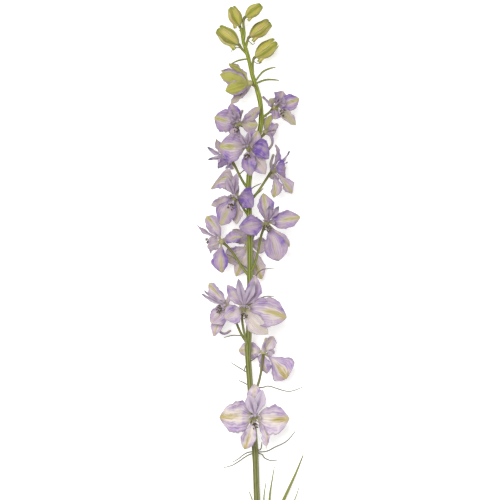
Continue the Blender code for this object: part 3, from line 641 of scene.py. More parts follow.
def shell(gathered, grid, thickness, **marks):
    """Adds a thin closed sheet over the grid, whose last row is its tip."""
    rows, columns = grid.shape[0] - 1, grid.shape[1] - 1
    if (rows, columns) not in SHELLS:
        SHELLS[rows, columns] = shell_faces(rows, columns), shell_uv(rows, columns)
    faces, uv = SHELLS[rows, columns]
    gathered.add(shell_points(grid, thickness, rows, columns).tolist(), faces, uv, **marks)


def unevenness(rng, x, y, waves=7):
    """A smooth uneven surface between about -1 and 1, from a few crossing waves."""
    total = 0
    for k in range(waves):
        angle, phase = rng.uniform(0, math.pi), rng.uniform(0, 2 * math.pi)
        pitch = 1 + 0.55 * k
        total = total + np.sin(pitch * (x * math.cos(angle) + y * math.sin(angle)) + phase) / (1 + 0.45 * k)
    return total / 2.6


def blade_grid(
    base, tip, facing, width, bow, sway, full, claw, rng, steps, fold=0, curl=0, ruffle=0, crumple=0
):
    """The middle surface of a sepal or petal, on the form that its solid has, with its finer waves."""
    run = tip - base
    normal = square_to(facing, run)
    side = normal.cross(run.normalized())
    length = run.length
    t = np.linspace(0, 1, steps[0] + 1)[:, None]
    s = np.linspace(-1, 1, steps[1] + 1)[None, :]
    outline = np.maximum(np.sin(math.pi * t**full), 0) ** 0.8
    half = np.maximum(width / 2 * outline, claw * (1 - t))
    swell = np.sin(math.pi * t)
    loose = np.sqrt(np.maximum(swell, 0))
    bays = rng.uniform(0, 2 * math.pi, 6)
    # The edge is a little wider than the solid's, and ragged in three sizes of bay
    edge = 1.05 + 0.07 * np.sin(11 * t + bays[0] + s) * swell
    edge = edge + 0.045 * np.sin(25 * t + bays[1] - 2 * s) * swell
    edge = edge + 0.025 * np.sin(47 * t + bays[4] + 3 * s) * loose
    # The bow, cup and ripple are the solid's own, and a fold creases the blade along its midrib
    lift = bow * length * swell + BLADE_CUP * half * s * s * swell + BLADE_RIPPLE * s * np.sin(7 * t) * swell
    lift = lift + fold * half * (np.sqrt(s * s + 0.01) - 0.45) * swell * 0.75
    # Long and short waves along the edge
    wave = np.sin(2 * math.pi * 2.3 * t + bays[2] + 2.1 * np.sign(s)) * np.abs(s) ** 2.2
    wave = wave + 0.5 * np.sin(2 * math.pi * 5.1 * t + bays[3] + np.sign(s)) * np.abs(s) ** 4
    lift = lift + ruffle * wave * loose
    # Pleats run from the claw towards the tip, and lumps cross them
    drift = unevenness(rng, t * length / 6, s * 1.2, 4)
    pleats = np.sin(math.pi * max(width / PLEAT_PITCH, 1.5) * s + bays[5] + 2.4 * drift)
    pleats = pleats * (0.55 + 0.6 * drift)
    lift = lift + crumple * 0.75 * pleats * loose * np.minimum(half / 3, 1)
    lift = lift + crumple * unevenness(rng, t * length / 2.6, s * half / 1.6) * loose
    # The midrib is a shallow groove, and curl bends the tip
    lift = lift - 0.16 * np.exp(-((s / 0.12) ** 2)) * swell
    lift = lift + curl * length * np.maximum(t - 0.55, 0) ** 2 * 1.6
    across = half * s * edge * (1 - 0.1 * fold) + sway * length * swell
    grid = np.array(base)[None, None] + np.array(run)[None, None] * t[:, :, None]
    return grid + np.array(side) * across[:, :, None] + np.array(normal) * lift[:, :, None]


def tube(gathered, points, radii, sides=12, **marks):
    """Adds a round closed rod through the points, with a radius at each of them."""
    points = [Vector(p) for p in points]
    count = len(points)
    turn = square_to(Vector((0.3, 0.2, 1)), points[1] - points[0])
    places, uv = [], []
    for i, (point, radius) in enumerate(zip(points, radii)):
        tangent = (points[min(i + 1, count - 1)] - points[max(i - 1, 0)]).normalized()
        turn = square_to(turn, tangent)
        other = tangent.cross(turn)
        for k in range(sides):
            angle = 2 * math.pi * k / sides
            places.append(point + (turn * math.cos(angle) + other * math.sin(angle)) * radius)
            uv.append((i / (count - 1), abs(2 * k / sides - 1)))
    hub = len(places)
    last = (count - 1) * sides
    around = [(k, (k + 1) % sides) for k in range(sides)]
    faces = [(i + a, i + b, i + b + sides, i + a + sides) for i in range(0, last, sides) for a, b in around]
    # The two ends are closed round a hub
    faces += [(b, a, hub) for a, b in around] + [(last + a, last + b, hub + 1) for a, b in around]
    places += [points[0], points[-1]]
    uv += [(0.0, 0.5), (1.0, 0.5)]
    gathered.add([tuple(p) for p in places], faces, uv, **marks)


def ball(gathered, centre, radii, pole, segments=14, rings=9, **marks):
    """Adds a closed ellipsoid with its pole along the given direction."""
    shape = bmesh.new()
    bmesh.ops.create_uvsphere(shape, u_segments=segments, v_segments=rings, radius=1)
    turn = TOWARDS_VIEW.rotation_difference(pole)
    places, uv = [], []
    for vertex in shape.verts:
        places.append(tuple(centre + turn @ Vector([c * r for c, r in zip(vertex.co, radii)])))
        uv.append((0.04, 0.5))
    faces = [tuple(v.index for v in face.verts) for face in shape.faces]
    shape.free()
    gathered.add(places, faces, uv, **marks)


def add(tree, kind, inputs=None, result=0, **settings):
    """Adds a node and gives one of its outputs, by number or name.

    inputs maps a socket's name or number to a value, to the output that feeds it, or to a list of outputs.
    """
    node = tree.nodes.new(kind)
    for key, value in settings.items():
        setattr(node, key, value)
    for key, value in (inputs or {}).items():
        for item in value if isinstance(value, list) else [value]:
            if isinstance(item, bpy.types.NodeSocket):
                tree.links.new(item, node.inputs[key])
            else:
                node.inputs[key].default_value = item
    return node.outputs[result] if node.outputs else None


# Sockets of a Mix node for colours, by number because their names repeat: how much of the colour that
# goes over the other, the colour under it, the colour over it, and the two mixed
SHARE, UNDER, OVER, MIXED = 0, 6, 7, 2


def surface(name, **settings):
    """A new material with a Principled shader, whose own sockets take the given constants."""
    material = bpy.data.materials.new(name)
    material.use_nodes = True
    shader = material.node_tree.nodes["Principled BSDF"]
    for key, value in settings.items():
        shader.inputs[key.replace("_", " ")].default_value = value
    return material, material.node_tree


def finished(material, colour, relief, strength, distance):
    """The material with its colour, and with a relief that is this many metres deep at full strength."""
    tree = material.node_tree
    bump = add(tree, "ShaderNodeBump", {"Strength": strength, "Distance": distance, "Height": relief})
    shader = tree.nodes["Principled BSDF"]
    tree.links.new(colour, shader.inputs["Base Color"])
    tree.links.new(bump, shader.inputs["Normal"])
    return material


def set_stops(ramp, *stops):
    """Gives a colour ramp its stops, each a (position, colour), in order."""
    ramp.elements[0].position, ramp.elements[0].color = stops[0]
    ramp.elements[1].position, ramp.elements[1].color = stops[-1]
    for position, colour in stops[1:-1]:
        ramp.elements.new(position).color = colour


def blade_place(tree, *marks):
    """Where a point lies on its blade, and what its vertices hold.

    First how far along the blade it is and how far across, both 0 to 1, and its distance from the midrib.
    """
    uv = add(tree, "ShaderNodeUVMap", uv_map="UVMap")
    t, v, _ = add(tree, "ShaderNodeSeparateXYZ", {0: uv}).node.outputs
    side = add(tree, "ShaderNodeMath", {0: v, 1: 2.0, 2: -1.0}, operation="MULTIPLY_ADD")
    side = add(tree, "ShaderNodeMath", {0: side}, operation="ABSOLUTE")
    held = [add(tree, "ShaderNodeAttribute", None, "Fac", attribute_name=mark) for mark in marks]
    return t, v, side, *held


def streak_pattern(tree, t, v, seed, stretch, spread, scale, detail, roughness):
    """Noise drawn out along a blade. stretch and spread say how fast it changes along and across it."""
    place = add(tree, "ShaderNodeCombineXYZ", {0: t, 1: v, 2: seed})
    place = add(tree, "ShaderNodeVectorMath", {0: place, 1: (stretch, spread, 1)}, operation="MULTIPLY")
    return add(
        tree, "ShaderNodeTexNoise",
        {"Vector": place, "Scale": scale, "Detail": detail, "Roughness": roughness},
    )


def vein_pattern(tree, v, streaks, close, waver, thin, strength):
    """Fine lines from the claw to the tip, which waver with the streaks. close says how close they are."""
    lines = add(tree, "ShaderNodeMath", {0: v, 1: close}, operation="MULTIPLY")
    lines = add(tree, "ShaderNodeMath", {0: streaks, 1: waver, 2: lines}, operation="MULTIPLY_ADD")
    lines = add(tree, "ShaderNodeMath", {0: lines}, operation="SINE")
    return add(
        tree, "ShaderNodeMapRange", {"Value": lines, "From Min": thin, "From Max": 1.0, "To Max": strength}
    )


def upper_share(tree, place, most):
    """0 at the lowest blooms and most at the upper ones, by the row's Y in metres."""
    height = add(tree, "ShaderNodeSeparateXYZ", {0: place}, "Y")
    return add(
        tree, "ShaderNodeMapRange", {"Value": height, "From Min": -0.05, "From Max": 0.045, "To Max": most}
    )


def sepal_material():
    """Fresh larkspur sepal: thin satiny tissue, streaked along its length, with a yellow-green midrib."""
    hue = colours()
    material, tree = surface(
        "Larkspur sepal", Roughness=0.55, IOR=1.38, Subsurface_Weight=0.2, Subsurface_Scale=0.0006,
        Subsurface_Radius=(1.0, 0.85, 1.0), Sheen_Weight=0.08, Sheen_Roughness=0.5,
    )
    t, v, side, tone, stripe_mark, green_mark, seed = blade_place(tree, "tone", "stripe", "green", "seed")
    place = add(tree, "ShaderNodeTexCoord", None, "Object")
    # Streaks a few tenths of a millimetre wide run from the claw to the tip
    streaks = streak_pattern(
        tree, t, v, seed, stretch=1.7, spread=9.0, scale=1.6, detail=5.0, roughness=0.62
    )
    # Blotches about 5 mm across
    blotches = add(tree, "ShaderNodeTexNoise", {"Vector": place, "Scale": 190.0, "Detail": 2.0})
    upper = upper_share(tree, place, 1.0)
    # The midrib's stripe widens towards the tip and is frayed by the streaks
    edge = add(tree, "ShaderNodeMath", {0: t, 1: -0.32, 2: side}, operation="MULTIPLY_ADD")
    edge = add(tree, "ShaderNodeMath", {0: streaks, 1: 0.5, 2: edge}, operation="MULTIPLY_ADD")
    # Zones that lie by the distance along the blade or from its midrib, or by the frayed edge. Each goes
    # smoothly from 0 where its value has the first number to the last number where it has the second
    zone = {}
    for name, value, start, end, most in (
        ("flank", side, 0.6, 0.1, 0.75),
        ("reach", t, 0.12, 0.5, 1.0),
        ("stripe", edge, 0.33, 0.06, 1.0),
        ("rise", t, 0.25, 0.6, 1.0),
        ("middle", side, 0.85, 0.3, 1.0),
        ("end", t, 0.78, 0.93, 1.0),
        ("inside", edge, 1.0, 0.6, 1.0),
        ("claw", t, 0.24, 0.02, 0.7),
    ):
        zone[name] = add(
            tree, "ShaderNodeMapRange", {"Value": value, "From Min": start, "From Max": end, "To Max": most},
            interpolation_type="SMOOTHSTEP",
        )
    # The tissue beside the midrib is washed out, and the margin is more violet
    flank = add(tree, "ShaderNodeMath", {0: zone["flank"], 1: zone["reach"]}, operation="MULTIPLY")
    flank = add(tree, "ShaderNodeMath", {0: flank, 1: stripe_mark}, operation="MULTIPLY")
    depth = add(tree, "ShaderNodeMath", {0: tone, 1: 1.2, 2: -0.14}, operation="MULTIPLY_ADD")
    for value, weight in ((streaks, 1.7), (blotches, 2.5), (side, 0.25), (flank, -1.0)):
        depth = add(tree, "ShaderNodeMath", {0: value, 1: weight, 2: depth}, operation="MULTIPLY_ADD")
    depth = add(tree, "ShaderNodeMapRange", {"Value": depth, "From Min": 1.68, "From Max": 3.42})
    body = add(tree, "ShaderNodeValToRGB", {"Fac": depth})
    set_stops(
        body.node.color_ramp, (0.16, hue.sepal_cream), (0.34, hue.sepal_pale), (0.56, hue.sepal_mid),
        (0.77, hue.sepal_strong), (1.0, hue.sepal_deep),
    )
    # Fine veins fan out from the claw, and here and there they fade
    vein = vein_pattern(tree, v, streaks, close=70.0, waver=9.0, thin=0.3, strength=0.48)
    shown = add(
        tree, "ShaderNodeMapRange", {"Value": blotches, "From Min": 0.38, "From Max": 0.6, "To Min": 0.2}
    )
    vein = add(tree, "ShaderNodeMath", {0: vein, 1: shown}, operation="MULTIPLY")
    body = add(
        tree, "ShaderNodeMix", {SHARE: vein, UNDER: body, OVER: hue.sepal_vein}, MIXED,
        data_type="RGBA",
    )
    # Painted shade: the upper blooms, whose sepals overlap and crumple, are darkened, and more so in the
    # hollows between the blotches
    painted_shade_share = add(
        tree, "ShaderNodeMapRange",
        {"Value": blotches, "From Min": 0.62, "From Max": 0.4, "To Min": 0.6, "To Max": 1.5},
    )
    painted_shade_share = add(tree, "ShaderNodeMath", {0: painted_shade_share, 1: upper}, operation="MULTIPLY")
    body = add(
        tree, "ShaderNodeMix", {SHARE: painted_shade_share, UNDER: body, OVER: hue.sepal_shade}, MIXED,
        data_type="RGBA", blend_type="MULTIPLY", clamp_factor=False,
    )
    # The stripe's own colour, which the streaks wash out in places and the veins darken
    faded = add(
        tree, "ShaderNodeMapRange", {"Value": streaks, "From Min": 0.47, "From Max": 0.64, "To Max": 0.45}
    )
    rib = hue.midrib_mustard
    for share, colour in ((upper, hue.midrib_green), (faded, hue.sepal_cream), (vein, hue.midrib_line)):
        rib = add(
            tree, "ShaderNodeMix", {SHARE: share, UNDER: rib, OVER: colour}, MIXED, data_type="RGBA"
        )
    young = add(
        tree, "ShaderNodeMix", {SHARE: vein, UNDER: hue.half_open, OVER: hue.midrib_line}, MIXED,
        data_type="RGBA",
    )
    stripe = add(tree, "ShaderNodeMath", {0: zone["stripe"], 1: zone["rise"]}, operation="MULTIPLY")
    tip = add(tree, "ShaderNodeMath", {0: zone["middle"], 1: zone["end"]}, operation="MULTIPLY")
    stripe = add(tree, "ShaderNodeMath", {0: stripe, 1: tip}, operation="MAXIMUM")
    for share in (stripe_mark, 0.9):
        stripe = add(tree, "ShaderNodeMath", {0: stripe, 1: share}, operation="MULTIPLY")
    margin = add(
        tree, "ShaderNodeMapRange", {"Value": side, "From Min": 0.86, "From Max": 1.0, "To Max": 0.5}
    )
    # Half-open sepals are green but for their edges, and every claw is greenish: partly the claw's own
    # colour, partly painted shade at the bloom's centre
    green = add(tree, "ShaderNodeMath", {0: zone["inside"], 1: green_mark}, operation="MULTIPLY")
    green = add(tree, "ShaderNodeMath", {0: green, 1: zone["claw"]}, operation="MAXIMUM")
    # The stripe, the thin margin, which is a little darker, and the green lie over the rest
    for share, colour in ((stripe, rib), (margin, hue.sepal_vein), (green, young)):
        body = add(
            tree, "ShaderNodeMix", {SHARE: share, UNDER: body, OVER: colour}, MIXED, data_type="RGBA"
        )
    relief = add(tree, "ShaderNodeMath", {0: vein, 1: 1.0, 2: streaks}, operation="MULTIPLY_ADD")
    return finished(material, body, relief, strength=0.6, distance=0.00025)


def inner_petal_material():
    """Inner petal: pale greyish tissue, with violet lines along it and a bruised tip."""
    hue = colours()
    material, tree = surface(
        "Larkspur inner petal", Roughness=0.5, IOR=1.38, Subsurface_Weight=0.25, Subsurface_Scale=0.0006,
        Subsurface_Radius=(1.0, 0.85, 1.0),
    )
    t, v, side, tone, lines, bruise, seed = blade_place(tree, "tone", "lines", "bruise", "seed")
    streaks = streak_pattern(
        tree, t, v, seed, stretch=1.0, spread=6.0, scale=2.2, detail=4.0, roughness=0.6
    )
    depth = add(tree, "ShaderNodeMath", {0: streaks, 1: 2.0, 2: tone}, operation="MULTIPLY_ADD")
    depth = add(tree, "ShaderNodeMapRange", {"Value": depth, "From Min": 0.8, "From Max": 1.9})
    zone = {}
    for name, value, start, end in (
        ("midrib", side, 0.4, 0.08),
        ("lower", t, 1.0, 0.35),
        ("tip", t, 0.62, 0.9),
    ):
        zone[name] = add(
            tree, "ShaderNodeMapRange", {"Value": value, "From Min": start, "From Max": end},
            interpolation_type="SMOOTHSTEP",
        )
    # Veins about half a millimetre apart, and a broad line along the midrib, which both end before the tip
    line = vein_pattern(tree, v, streaks, close=44.0, waver=7.0, thin=0.2, strength=0.5)
    line = add(tree, "ShaderNodeMath", {0: zone["midrib"], 1: line}, operation="MAXIMUM")
    for share in (zone["lower"], lines):
        line = add(tree, "ShaderNodeMath", {0: line, 1: share}, operation="MULTIPLY")
    tip = add(tree, "ShaderNodeMath", {0: zone["tip"], 1: bruise}, operation="MULTIPLY")
    body = hue.inner_pale
    for share, colour in ((depth, hue.sepal_mid), (line, hue.inner_line), (tip, hue.inner_bruise)):
        body = add(
            tree, "ShaderNodeMix", {SHARE: share, UNDER: body, OVER: colour}, MIXED, data_type="RGBA"
        )
    # The upper blooms are duller: painted shade, as on their sepals, where they overlap
    upper = upper_share(tree, add(tree, "ShaderNodeTexCoord", None, "Object"), 1.4)
    body = add(
        tree, "ShaderNodeMix", {SHARE: upper, UNDER: body, OVER: hue.sepal_shade}, MIXED,
        data_type="RGBA", blend_type="MULTIPLY", clamp_factor=False,
    )
    return finished(material, body, streaks, strength=0.5, distance=0.0002)


def stem_material():
    """Fresh green stem: waxy and faintly ridged, olive near the cut end and bright near the buds."""
    hue = colours()
    material, tree = surface(
        "Larkspur stem skin", Roughness=0.48, IOR=1.42, Subsurface_Weight=0.12, Subsurface_Scale=0.0006,
        Subsurface_Radius=(0.6, 1.0, 0.3), Sheen_Weight=0.2, Sheen_Roughness=0.4,
    )
    place = add(tree, "ShaderNodeTexCoord", None, "Object")
    height = add(tree, "ShaderNodeSeparateXYZ", {0: place}, "Y")
    ridge, age, bract = (
        add(tree, "ShaderNodeAttribute", None, "Fac", attribute_name=mark)
        for mark in ("ridge", "age", "bract")
    )
    # Streaks run along the stem, a few tenths of a millimetre wide and about 15 mm long
    stretched = add(tree, "ShaderNodeMapping", {"Vector": place, "Scale": (2600.0, 70.0, 2600.0)})
    streaks = add(tree, "ShaderNodeTexNoise", {"Vector": stretched, "Scale": 1.0, "Detail": 3.0})
    # Painted shade: the furrows between the ridges are darker, on top of the real streaks
    dark = add(tree, "ShaderNodeMath", {0: ridge, 1: -0.3, 2: streaks}, operation="MULTIPLY_ADD")
    # The heights are the row's Y in metres. The cut face lies at its lower end
    zone = {}
    for name, value, start, end, most in (
        ("up", height, -0.164, 0.164, 1.0),
        ("furrow", dark, 0.35, 0.8, 0.75),
        ("stalk end", age, 0.25, 1.0, 0.75),
        ("cut", height, -0.16385, -0.16395, 1.0),
    ):
        zone[name] = add(
            tree, "ShaderNodeMapRange", {"Value": value, "From Min": start, "From Max": end, "To Max": most}
        )
    body = add(tree, "ShaderNodeValToRGB", {"Fac": zone["up"]})
    set_stops(body.node.color_ramp, (0.3, hue.stem_foot), (0.62, hue.stem_middle), (0.88, hue.stem_top))
    for share, colour in (
        (zone["furrow"], hue.stem_streak_and_furrow_shade),
        (zone["stalk end"], hue.stalk_brown),
        (bract, hue.bract),
        (zone["cut"], hue.pith),
    ):
        body = add(
            tree, "ShaderNodeMix", {SHARE: share, UNDER: body, OVER: colour}, MIXED, data_type="RGBA"
        )
    return finished(material, body, streaks, strength=0.35, distance=0.00012)


def leaf_material():
    """Narrow leaf lobe: matt green with a paler rib and slightly dry tips."""
    hue = colours()
    material, tree = surface(
        "Larkspur leaf lobe", Roughness=0.58, IOR=1.4, Subsurface_Weight=0.1, Subsurface_Scale=0.0005,
        Subsurface_Radius=(0.6, 1.0, 0.3),
    )
    place = add(tree, "ShaderNodeTexCoord", None, "Object")
    # Mottles about 2 mm across
    mottles = add(tree, "ShaderNodeTexNoise", {"Vector": place, "Scale": 420.0, "Detail": 3.0})
    ridge, age = (
        add(tree, "ShaderNodeAttribute", None, "Fac", attribute_name=mark) for mark in ("ridge", "age")
    )
    rib = add(tree, "ShaderNodeMapRange", {"Value": ridge, "From Min": 0.2, "From Max": 1.0, "To Max": 0.35})
    dry = add(tree, "ShaderNodeMapRange", {"Value": age, "From Min": 0.8, "From Max": 1.0, "To Max": 0.6})
    body = hue.stem_foot
    for share, colour in ((mottles, hue.stem_middle), (rib, hue.leaf_rib), (dry, hue.stalk_brown)):
        body = add(
            tree, "ShaderNodeMix", {SHARE: share, UNDER: body, OVER: colour}, MIXED, data_type="RGBA"
        )
    return finished(material, body, mottles, strength=0.3, distance=0.0001)


def bud_material():
    """Closed bud: leathery young sepals, olive-yellow with dark green keels and pale papery margins."""
    hue = colours()
    material, tree = surface(
        "Larkspur bud skin", Roughness=0.5, IOR=1.4, Subsurface_Weight=0.15, Subsurface_Scale=0.0006,
        Subsurface_Radius=(0.9, 1.0, 0.4), Sheen_Weight=0.15, Sheen_Roughness=0.4,
    )
    t, v, side, seed, blush = blade_place(tree, "seed", "blush")
    streaks = streak_pattern(
        tree, t, v, seed, stretch=1.0, spread=8.0, scale=1.8, detail=5.0, roughness=0.65
    )
    place = add(tree, "ShaderNodeTexCoord", None, "Object")
    patches = add(tree, "ShaderNodeTexNoise", {"Vector": place, "Scale": 260.0, "Detail": 2.0})
    frayed = add(tree, "ShaderNodeMath", {0: streaks, 1: 0.6, 2: side}, operation="MULTIPLY_ADD")
    # The base of a bud is paler, its keels and its tip are darker, and reddish patches are about 4 mm wide
    zone = {}
    for name, value, start, end, most, blend in (
        ("red", patches, 0.4, 0.62, 1.0, "LINEAR"),
        ("base", t, 0.3, 0.0, 0.6, "LINEAR"),
        ("keel", frayed, 0.66, 0.3, 0.85, "SMOOTHSTEP"),
        ("tip", t, 0.7, 0.98, 0.9, "SMOOTHSTEP"),
        ("margin", side, 0.8, 0.92, 0.85, "LINEAR"),
    ):
        zone[name] = add(
            tree, "ShaderNodeMapRange", {"Value": value, "From Min": start, "From Max": end, "To Max": most},
            interpolation_type=blend,
        )
    red = add(tree, "ShaderNodeMath", {0: zone["red"], 1: blush}, operation="MULTIPLY")
    green = add(tree, "ShaderNodeMath", {0: zone["keel"], 1: zone["tip"]}, operation="MAXIMUM")
    vein = vein_pattern(tree, v, streaks, close=52.0, waver=9.0, thin=0.2, strength=0.5)
    body = hue.bud_olive
    for share, colour in (
        (red, hue.bud_blush),
        (zone["base"], hue.bud_margin),
        (green, hue.bud_green),
        (vein, hue.midrib_line),
        (zone["margin"], hue.bud_margin),
    ):
        body = add(
            tree, "ShaderNodeMix", {SHARE: share, UNDER: body, OVER: colour}, MIXED, data_type="RGBA"
        )
    return finished(material, body, streaks, strength=0.6, distance=0.00025)


def stamen_material():
    """Stamens: pale silky filaments and dull olive-brown pollen sacs, round a green pistil."""
    hue = colours()
    material, tree = surface("Larkspur stamens", Roughness=0.6, IOR=1.38)
    part = add(tree, "ShaderNodeAttribute", None, "Fac", attribute_name="part")
    body = add(tree, "ShaderNodeValToRGB", {"Fac": part})
    set_stops(
        body.node.color_ramp, (0.25, hue.filament), (0.45, hue.anther), (0.8, hue.anther),
        (1.0, hue.stem_foot),
    )
    # Pollen grains, drawn coarser than they are so that they show
    place = add(tree, "ShaderNodeTexCoord", None, "Object")
    grains = add(tree, "ShaderNodeTexNoise", {"Vector": place, "Scale": 2600.0, "Detail": 2.0})
    body = add(
        tree, "ShaderNodeMix", {SHARE: 0.35, UNDER: body, OVER: grains.node.outputs["Color"]}, MIXED,
        data_type="RGBA", blend_type="SOFT_LIGHT",
    )
    return finished(material, body, grains, strength=0.4, distance=0.0001)


def new_growth(name, result, *sockets):
    """A geometry node tree with its inputs, each a (name, kind, default), and what they give."""
    tree = bpy.data.node_groups.new(name, "GeometryNodeTree")
    for label, kind, default in sockets:
        socket = tree.interface.new_socket(label, in_out="INPUT", socket_type="NodeSocket" + kind)
        if default is not None:
            socket.default_value = default
    tree.interface.new_socket(result, in_out="OUTPUT", socket_type="NodeSocketGeometry")
    return tree, add(tree, "NodeGroupInput").node.outputs


def stalk_tree():
    """Geometry nodes that skin every path of a mesh with a ridged round section."""
    tree, given = new_growth(
        "Stalks along paths", "Stalks", ("Paths", "Geometry", None), ("Sides", "Int", 12),
        ("Ridges", "Int", 5), ("Ridge depth", "Float", 0.04), ("Flatness", "Float", 1.0),
        ("Material", "Material", None),
    )
    curve = add(tree, "GeometryNodeMeshToCurve", {"Mesh": given["Paths"]})
    curve = add(tree, "GeometryNodeSetCurveNormal", {"Curve": curve}, mode="Z_UP")
    circle = add(tree, "GeometryNodeCurvePrimitiveCircle", {"Resolution": given["Sides"], "Radius": 1.0})
    spot = add(tree, "GeometryNodeSplineParameter", None, "Factor")
    full = add(tree, "ShaderNodeMath", {0: given["Ridges"], 1: 2 * math.pi}, operation="MULTIPLY")
    phase = add(tree, "ShaderNodeMath", {0: spot, 1: full}, operation="MULTIPLY")
    ridge = add(tree, "ShaderNodeMath", {0: phase}, operation="COSINE")
    marked = add(
        tree, "GeometryNodeStoreNamedAttribute", {"Geometry": circle, "Name": "ridge", "Value": ridge}
    )
    depth = given["Ridge depth"]
    raised = add(tree, "ShaderNodeMath", {0: ridge, 1: depth, 2: 1.0}, operation="MULTIPLY_ADD")
    flat = add(tree, "ShaderNodeMath", {0: raised, 1: given["Flatness"]}, operation="MULTIPLY")
    stretch = add(tree, "ShaderNodeCombineXYZ", {0: flat, 1: raised, 2: 1.0})
    moved = add(
        tree, "ShaderNodeVectorMath", {0: add(tree, "GeometryNodeInputPosition"), 1: stretch},
        operation="MULTIPLY",
    )
    section = add(tree, "GeometryNodeSetPosition", {"Geometry": marked, "Position": moved})
    girth = add(tree, "GeometryNodeInputNamedAttribute", {"Name": "girth"})
    skin = add(
        tree, "GeometryNodeCurveToMesh",
        {"Curve": curve, "Profile Curve": section, "Scale": girth, "Fill Caps": True},
    )
    skin = add(tree, "GeometryNodeSetShadeSmooth", {"Geometry": skin})
    skin = add(tree, "GeometryNodeRealizeInstances", {"Geometry": skin})
    skin = add(tree, "GeometryNodeSetMaterial", {"Geometry": skin, "Material": given["Material"]})
    add(tree, "NodeGroupOutput", {"Stalks": skin})
    return tree


def stamen_tree():
    """Geometry nodes that set stamens round a pistil, leaning outwards from a root."""
    tree, given = new_growth(
        "Column of stamens", "Column", ("Geometry", "Geometry", None), ("Stamens", "Int", 20),
        ("Length", "Float", 0.006), ("Anther", "Float", 0.001), ("Seed", "Int", 1), ("Root", "Vector", None),
        ("Turn", "Rotation", None), ("Material", "Material", None),
    )
    # One stamen, 1 long: a bent thread with a pollen sac on its end
    thread = add(
        tree, "GeometryNodeCurveQuadraticBezier",
        {"Resolution": 5, "Start": (0, 0, 0), "Middle": (0.02, 0, 0.55), "End": (0.1, 0, 0.96)},
    )
    ring = add(tree, "GeometryNodeCurvePrimitiveCircle", {"Resolution": 5, "Radius": 0.021})
    thread = add(
        tree, "GeometryNodeCurveToMesh", {"Curve": thread, "Profile Curve": ring, "Fill Caps": True}
    )
    sac = add(tree, "GeometryNodeMeshUVSphere", {"Segments": 7, "Rings": 5, "Radius": 0.5})
    relative = add(tree, "ShaderNodeMath", {0: given["Anther"], 1: given["Length"]}, operation="DIVIDE")
    slim = add(tree, "ShaderNodeMath", {0: relative, 1: 0.62}, operation="MULTIPLY")
    size = add(tree, "ShaderNodeCombineXYZ", {0: slim, 1: slim, 2: relative})
    sac = add(
        tree, "GeometryNodeTransform",
        {"Geometry": sac, "Translation": (0.11, 0, 1.0), "Rotation": (0, 0.5, 0), "Scale": size},
    )
    cone = {"Vertices": 8, "Radius Top": 0.00012, "Radius Bottom": 0.0005, "Depth": 1.0}
    pistil = add(tree, "GeometryNodeMeshCone", cone)
    tall = add(tree, "ShaderNodeMath", {0: given["Length"], 1: 0.85}, operation="MULTIPLY")
    tall = add(tree, "ShaderNodeCombineXYZ", {0: 1.0, 1: 1.0, 2: tall})
    pistil = add(tree, "GeometryNodeTransform", {"Geometry": pistil, "Scale": tall})
    seat = add(tree, "GeometryNodeMeshUVSphere", {"Segments": 12, "Rings": 7, "Radius": 0.0009})
    # The material tells the parts apart by this mark, which a thread lacks
    sac, pistil, seat = (
        add(tree, "GeometryNodeStoreNamedAttribute", {"Geometry": shape, "Name": "part", "Value": part})
        for shape, part in ((sac, 0.6), (pistil, 1.0), (seat, 1.0))
    )
    stamen = add(tree, "GeometryNodeJoinGeometry", {0: [thread, sac]})
    spots = add(tree, "GeometryNodePoints", {"Count": given["Stamens"]})
    index = add(tree, "GeometryNodeInputIndex")
    angle = add(tree, "ShaderNodeMath", {0: index, 1: GOLDEN_ANGLE}, operation="MULTIPLY")
    turn = add(tree, "FunctionNodeAxisAngleToRotation", {"Axis": (0, 0, 1), "Angle": angle})
    # A stamen leans more, the further out it stands
    order = add(tree, "ShaderNodeMath", {0: index, 1: given["Stamens"]}, operation="DIVIDE")
    order = add(tree, "ShaderNodeMath", {0: order}, operation="SQRT")
    wobble, share = (
        add(tree, "FunctionNodeRandomValue", {2: low, 3: high, "Seed": given["Seed"]}, 1)
        for low, high in ((-0.16, 0.16), (0.5, 1.08))
    )
    lean = add(tree, "ShaderNodeMath", {0: order, 1: 0.1, 2: wobble}, operation="MULTIPLY_ADD")
    tilt = add(tree, "FunctionNodeAxisAngleToRotation", {"Axis": (0, 1, 0), "Angle": lean})
    both = add(tree, "FunctionNodeRotateRotation", {0: turn, 1: tilt}, rotation_space="LOCAL")
    length = add(tree, "ShaderNodeMath", {0: share, 1: given["Length"]}, operation="MULTIPLY")
    stamens = add(
        tree, "GeometryNodeInstanceOnPoints",
        {"Points": spots, "Instance": stamen, "Rotation": both, "Scale": length},
    )
    whole = add(tree, "GeometryNodeJoinGeometry", {0: [stamens, pistil, seat]})
    whole = add(
        tree, "GeometryNodeTransform",
        {"Geometry": whole, "Translation": given["Root"], "Rotation": given["Turn"]},
    )
    whole = add(tree, "GeometryNodeSetShadeSmooth", {"Geometry": whole})
    whole = add(tree, "GeometryNodeRealizeInstances", {"Geometry": whole})
    whole = add(tree, "GeometryNodeSetMaterial", {"Geometry": whole, "Material": given["Material"]})
    add(tree, "NodeGroupOutput", {"Column": whole})
    return tree


def grown(name, mesh, tree, **values):
    """The plain mesh that a node tree makes of the given mesh."""
    obj = linked(name, mesh)
    modifier = obj.modifiers.new("Growth", "NODES")
    modifier.node_group = tree
    for item in tree.interface.items_tree:
        key = item.name.replace(" ", "_").lower()
        if item.in_out == "INPUT" and key in values:
            modifier[item.identifier] = values[key]
    bpy.context.view_layer.update()
    graph = bpy.context.evaluated_depsgraph_get()
    made = bpy.data.meshes.new_from_object(obj.evaluated_get(graph))
    bpy.data.objects.remove(obj)
    return made


def joined(name, meshes):
    """One object from several meshes that hold the same attributes."""
    shape = bmesh.new()
    for mesh in meshes:
        shape.from_mesh(mesh)
    whole = bpy.data.meshes.new(name)
    shape.to_mesh(whole)
    shape.free()
    return linked(name, whole)


Path = namedtuple("Path", "points girths age bract", defaults=(0.0, 0.0))


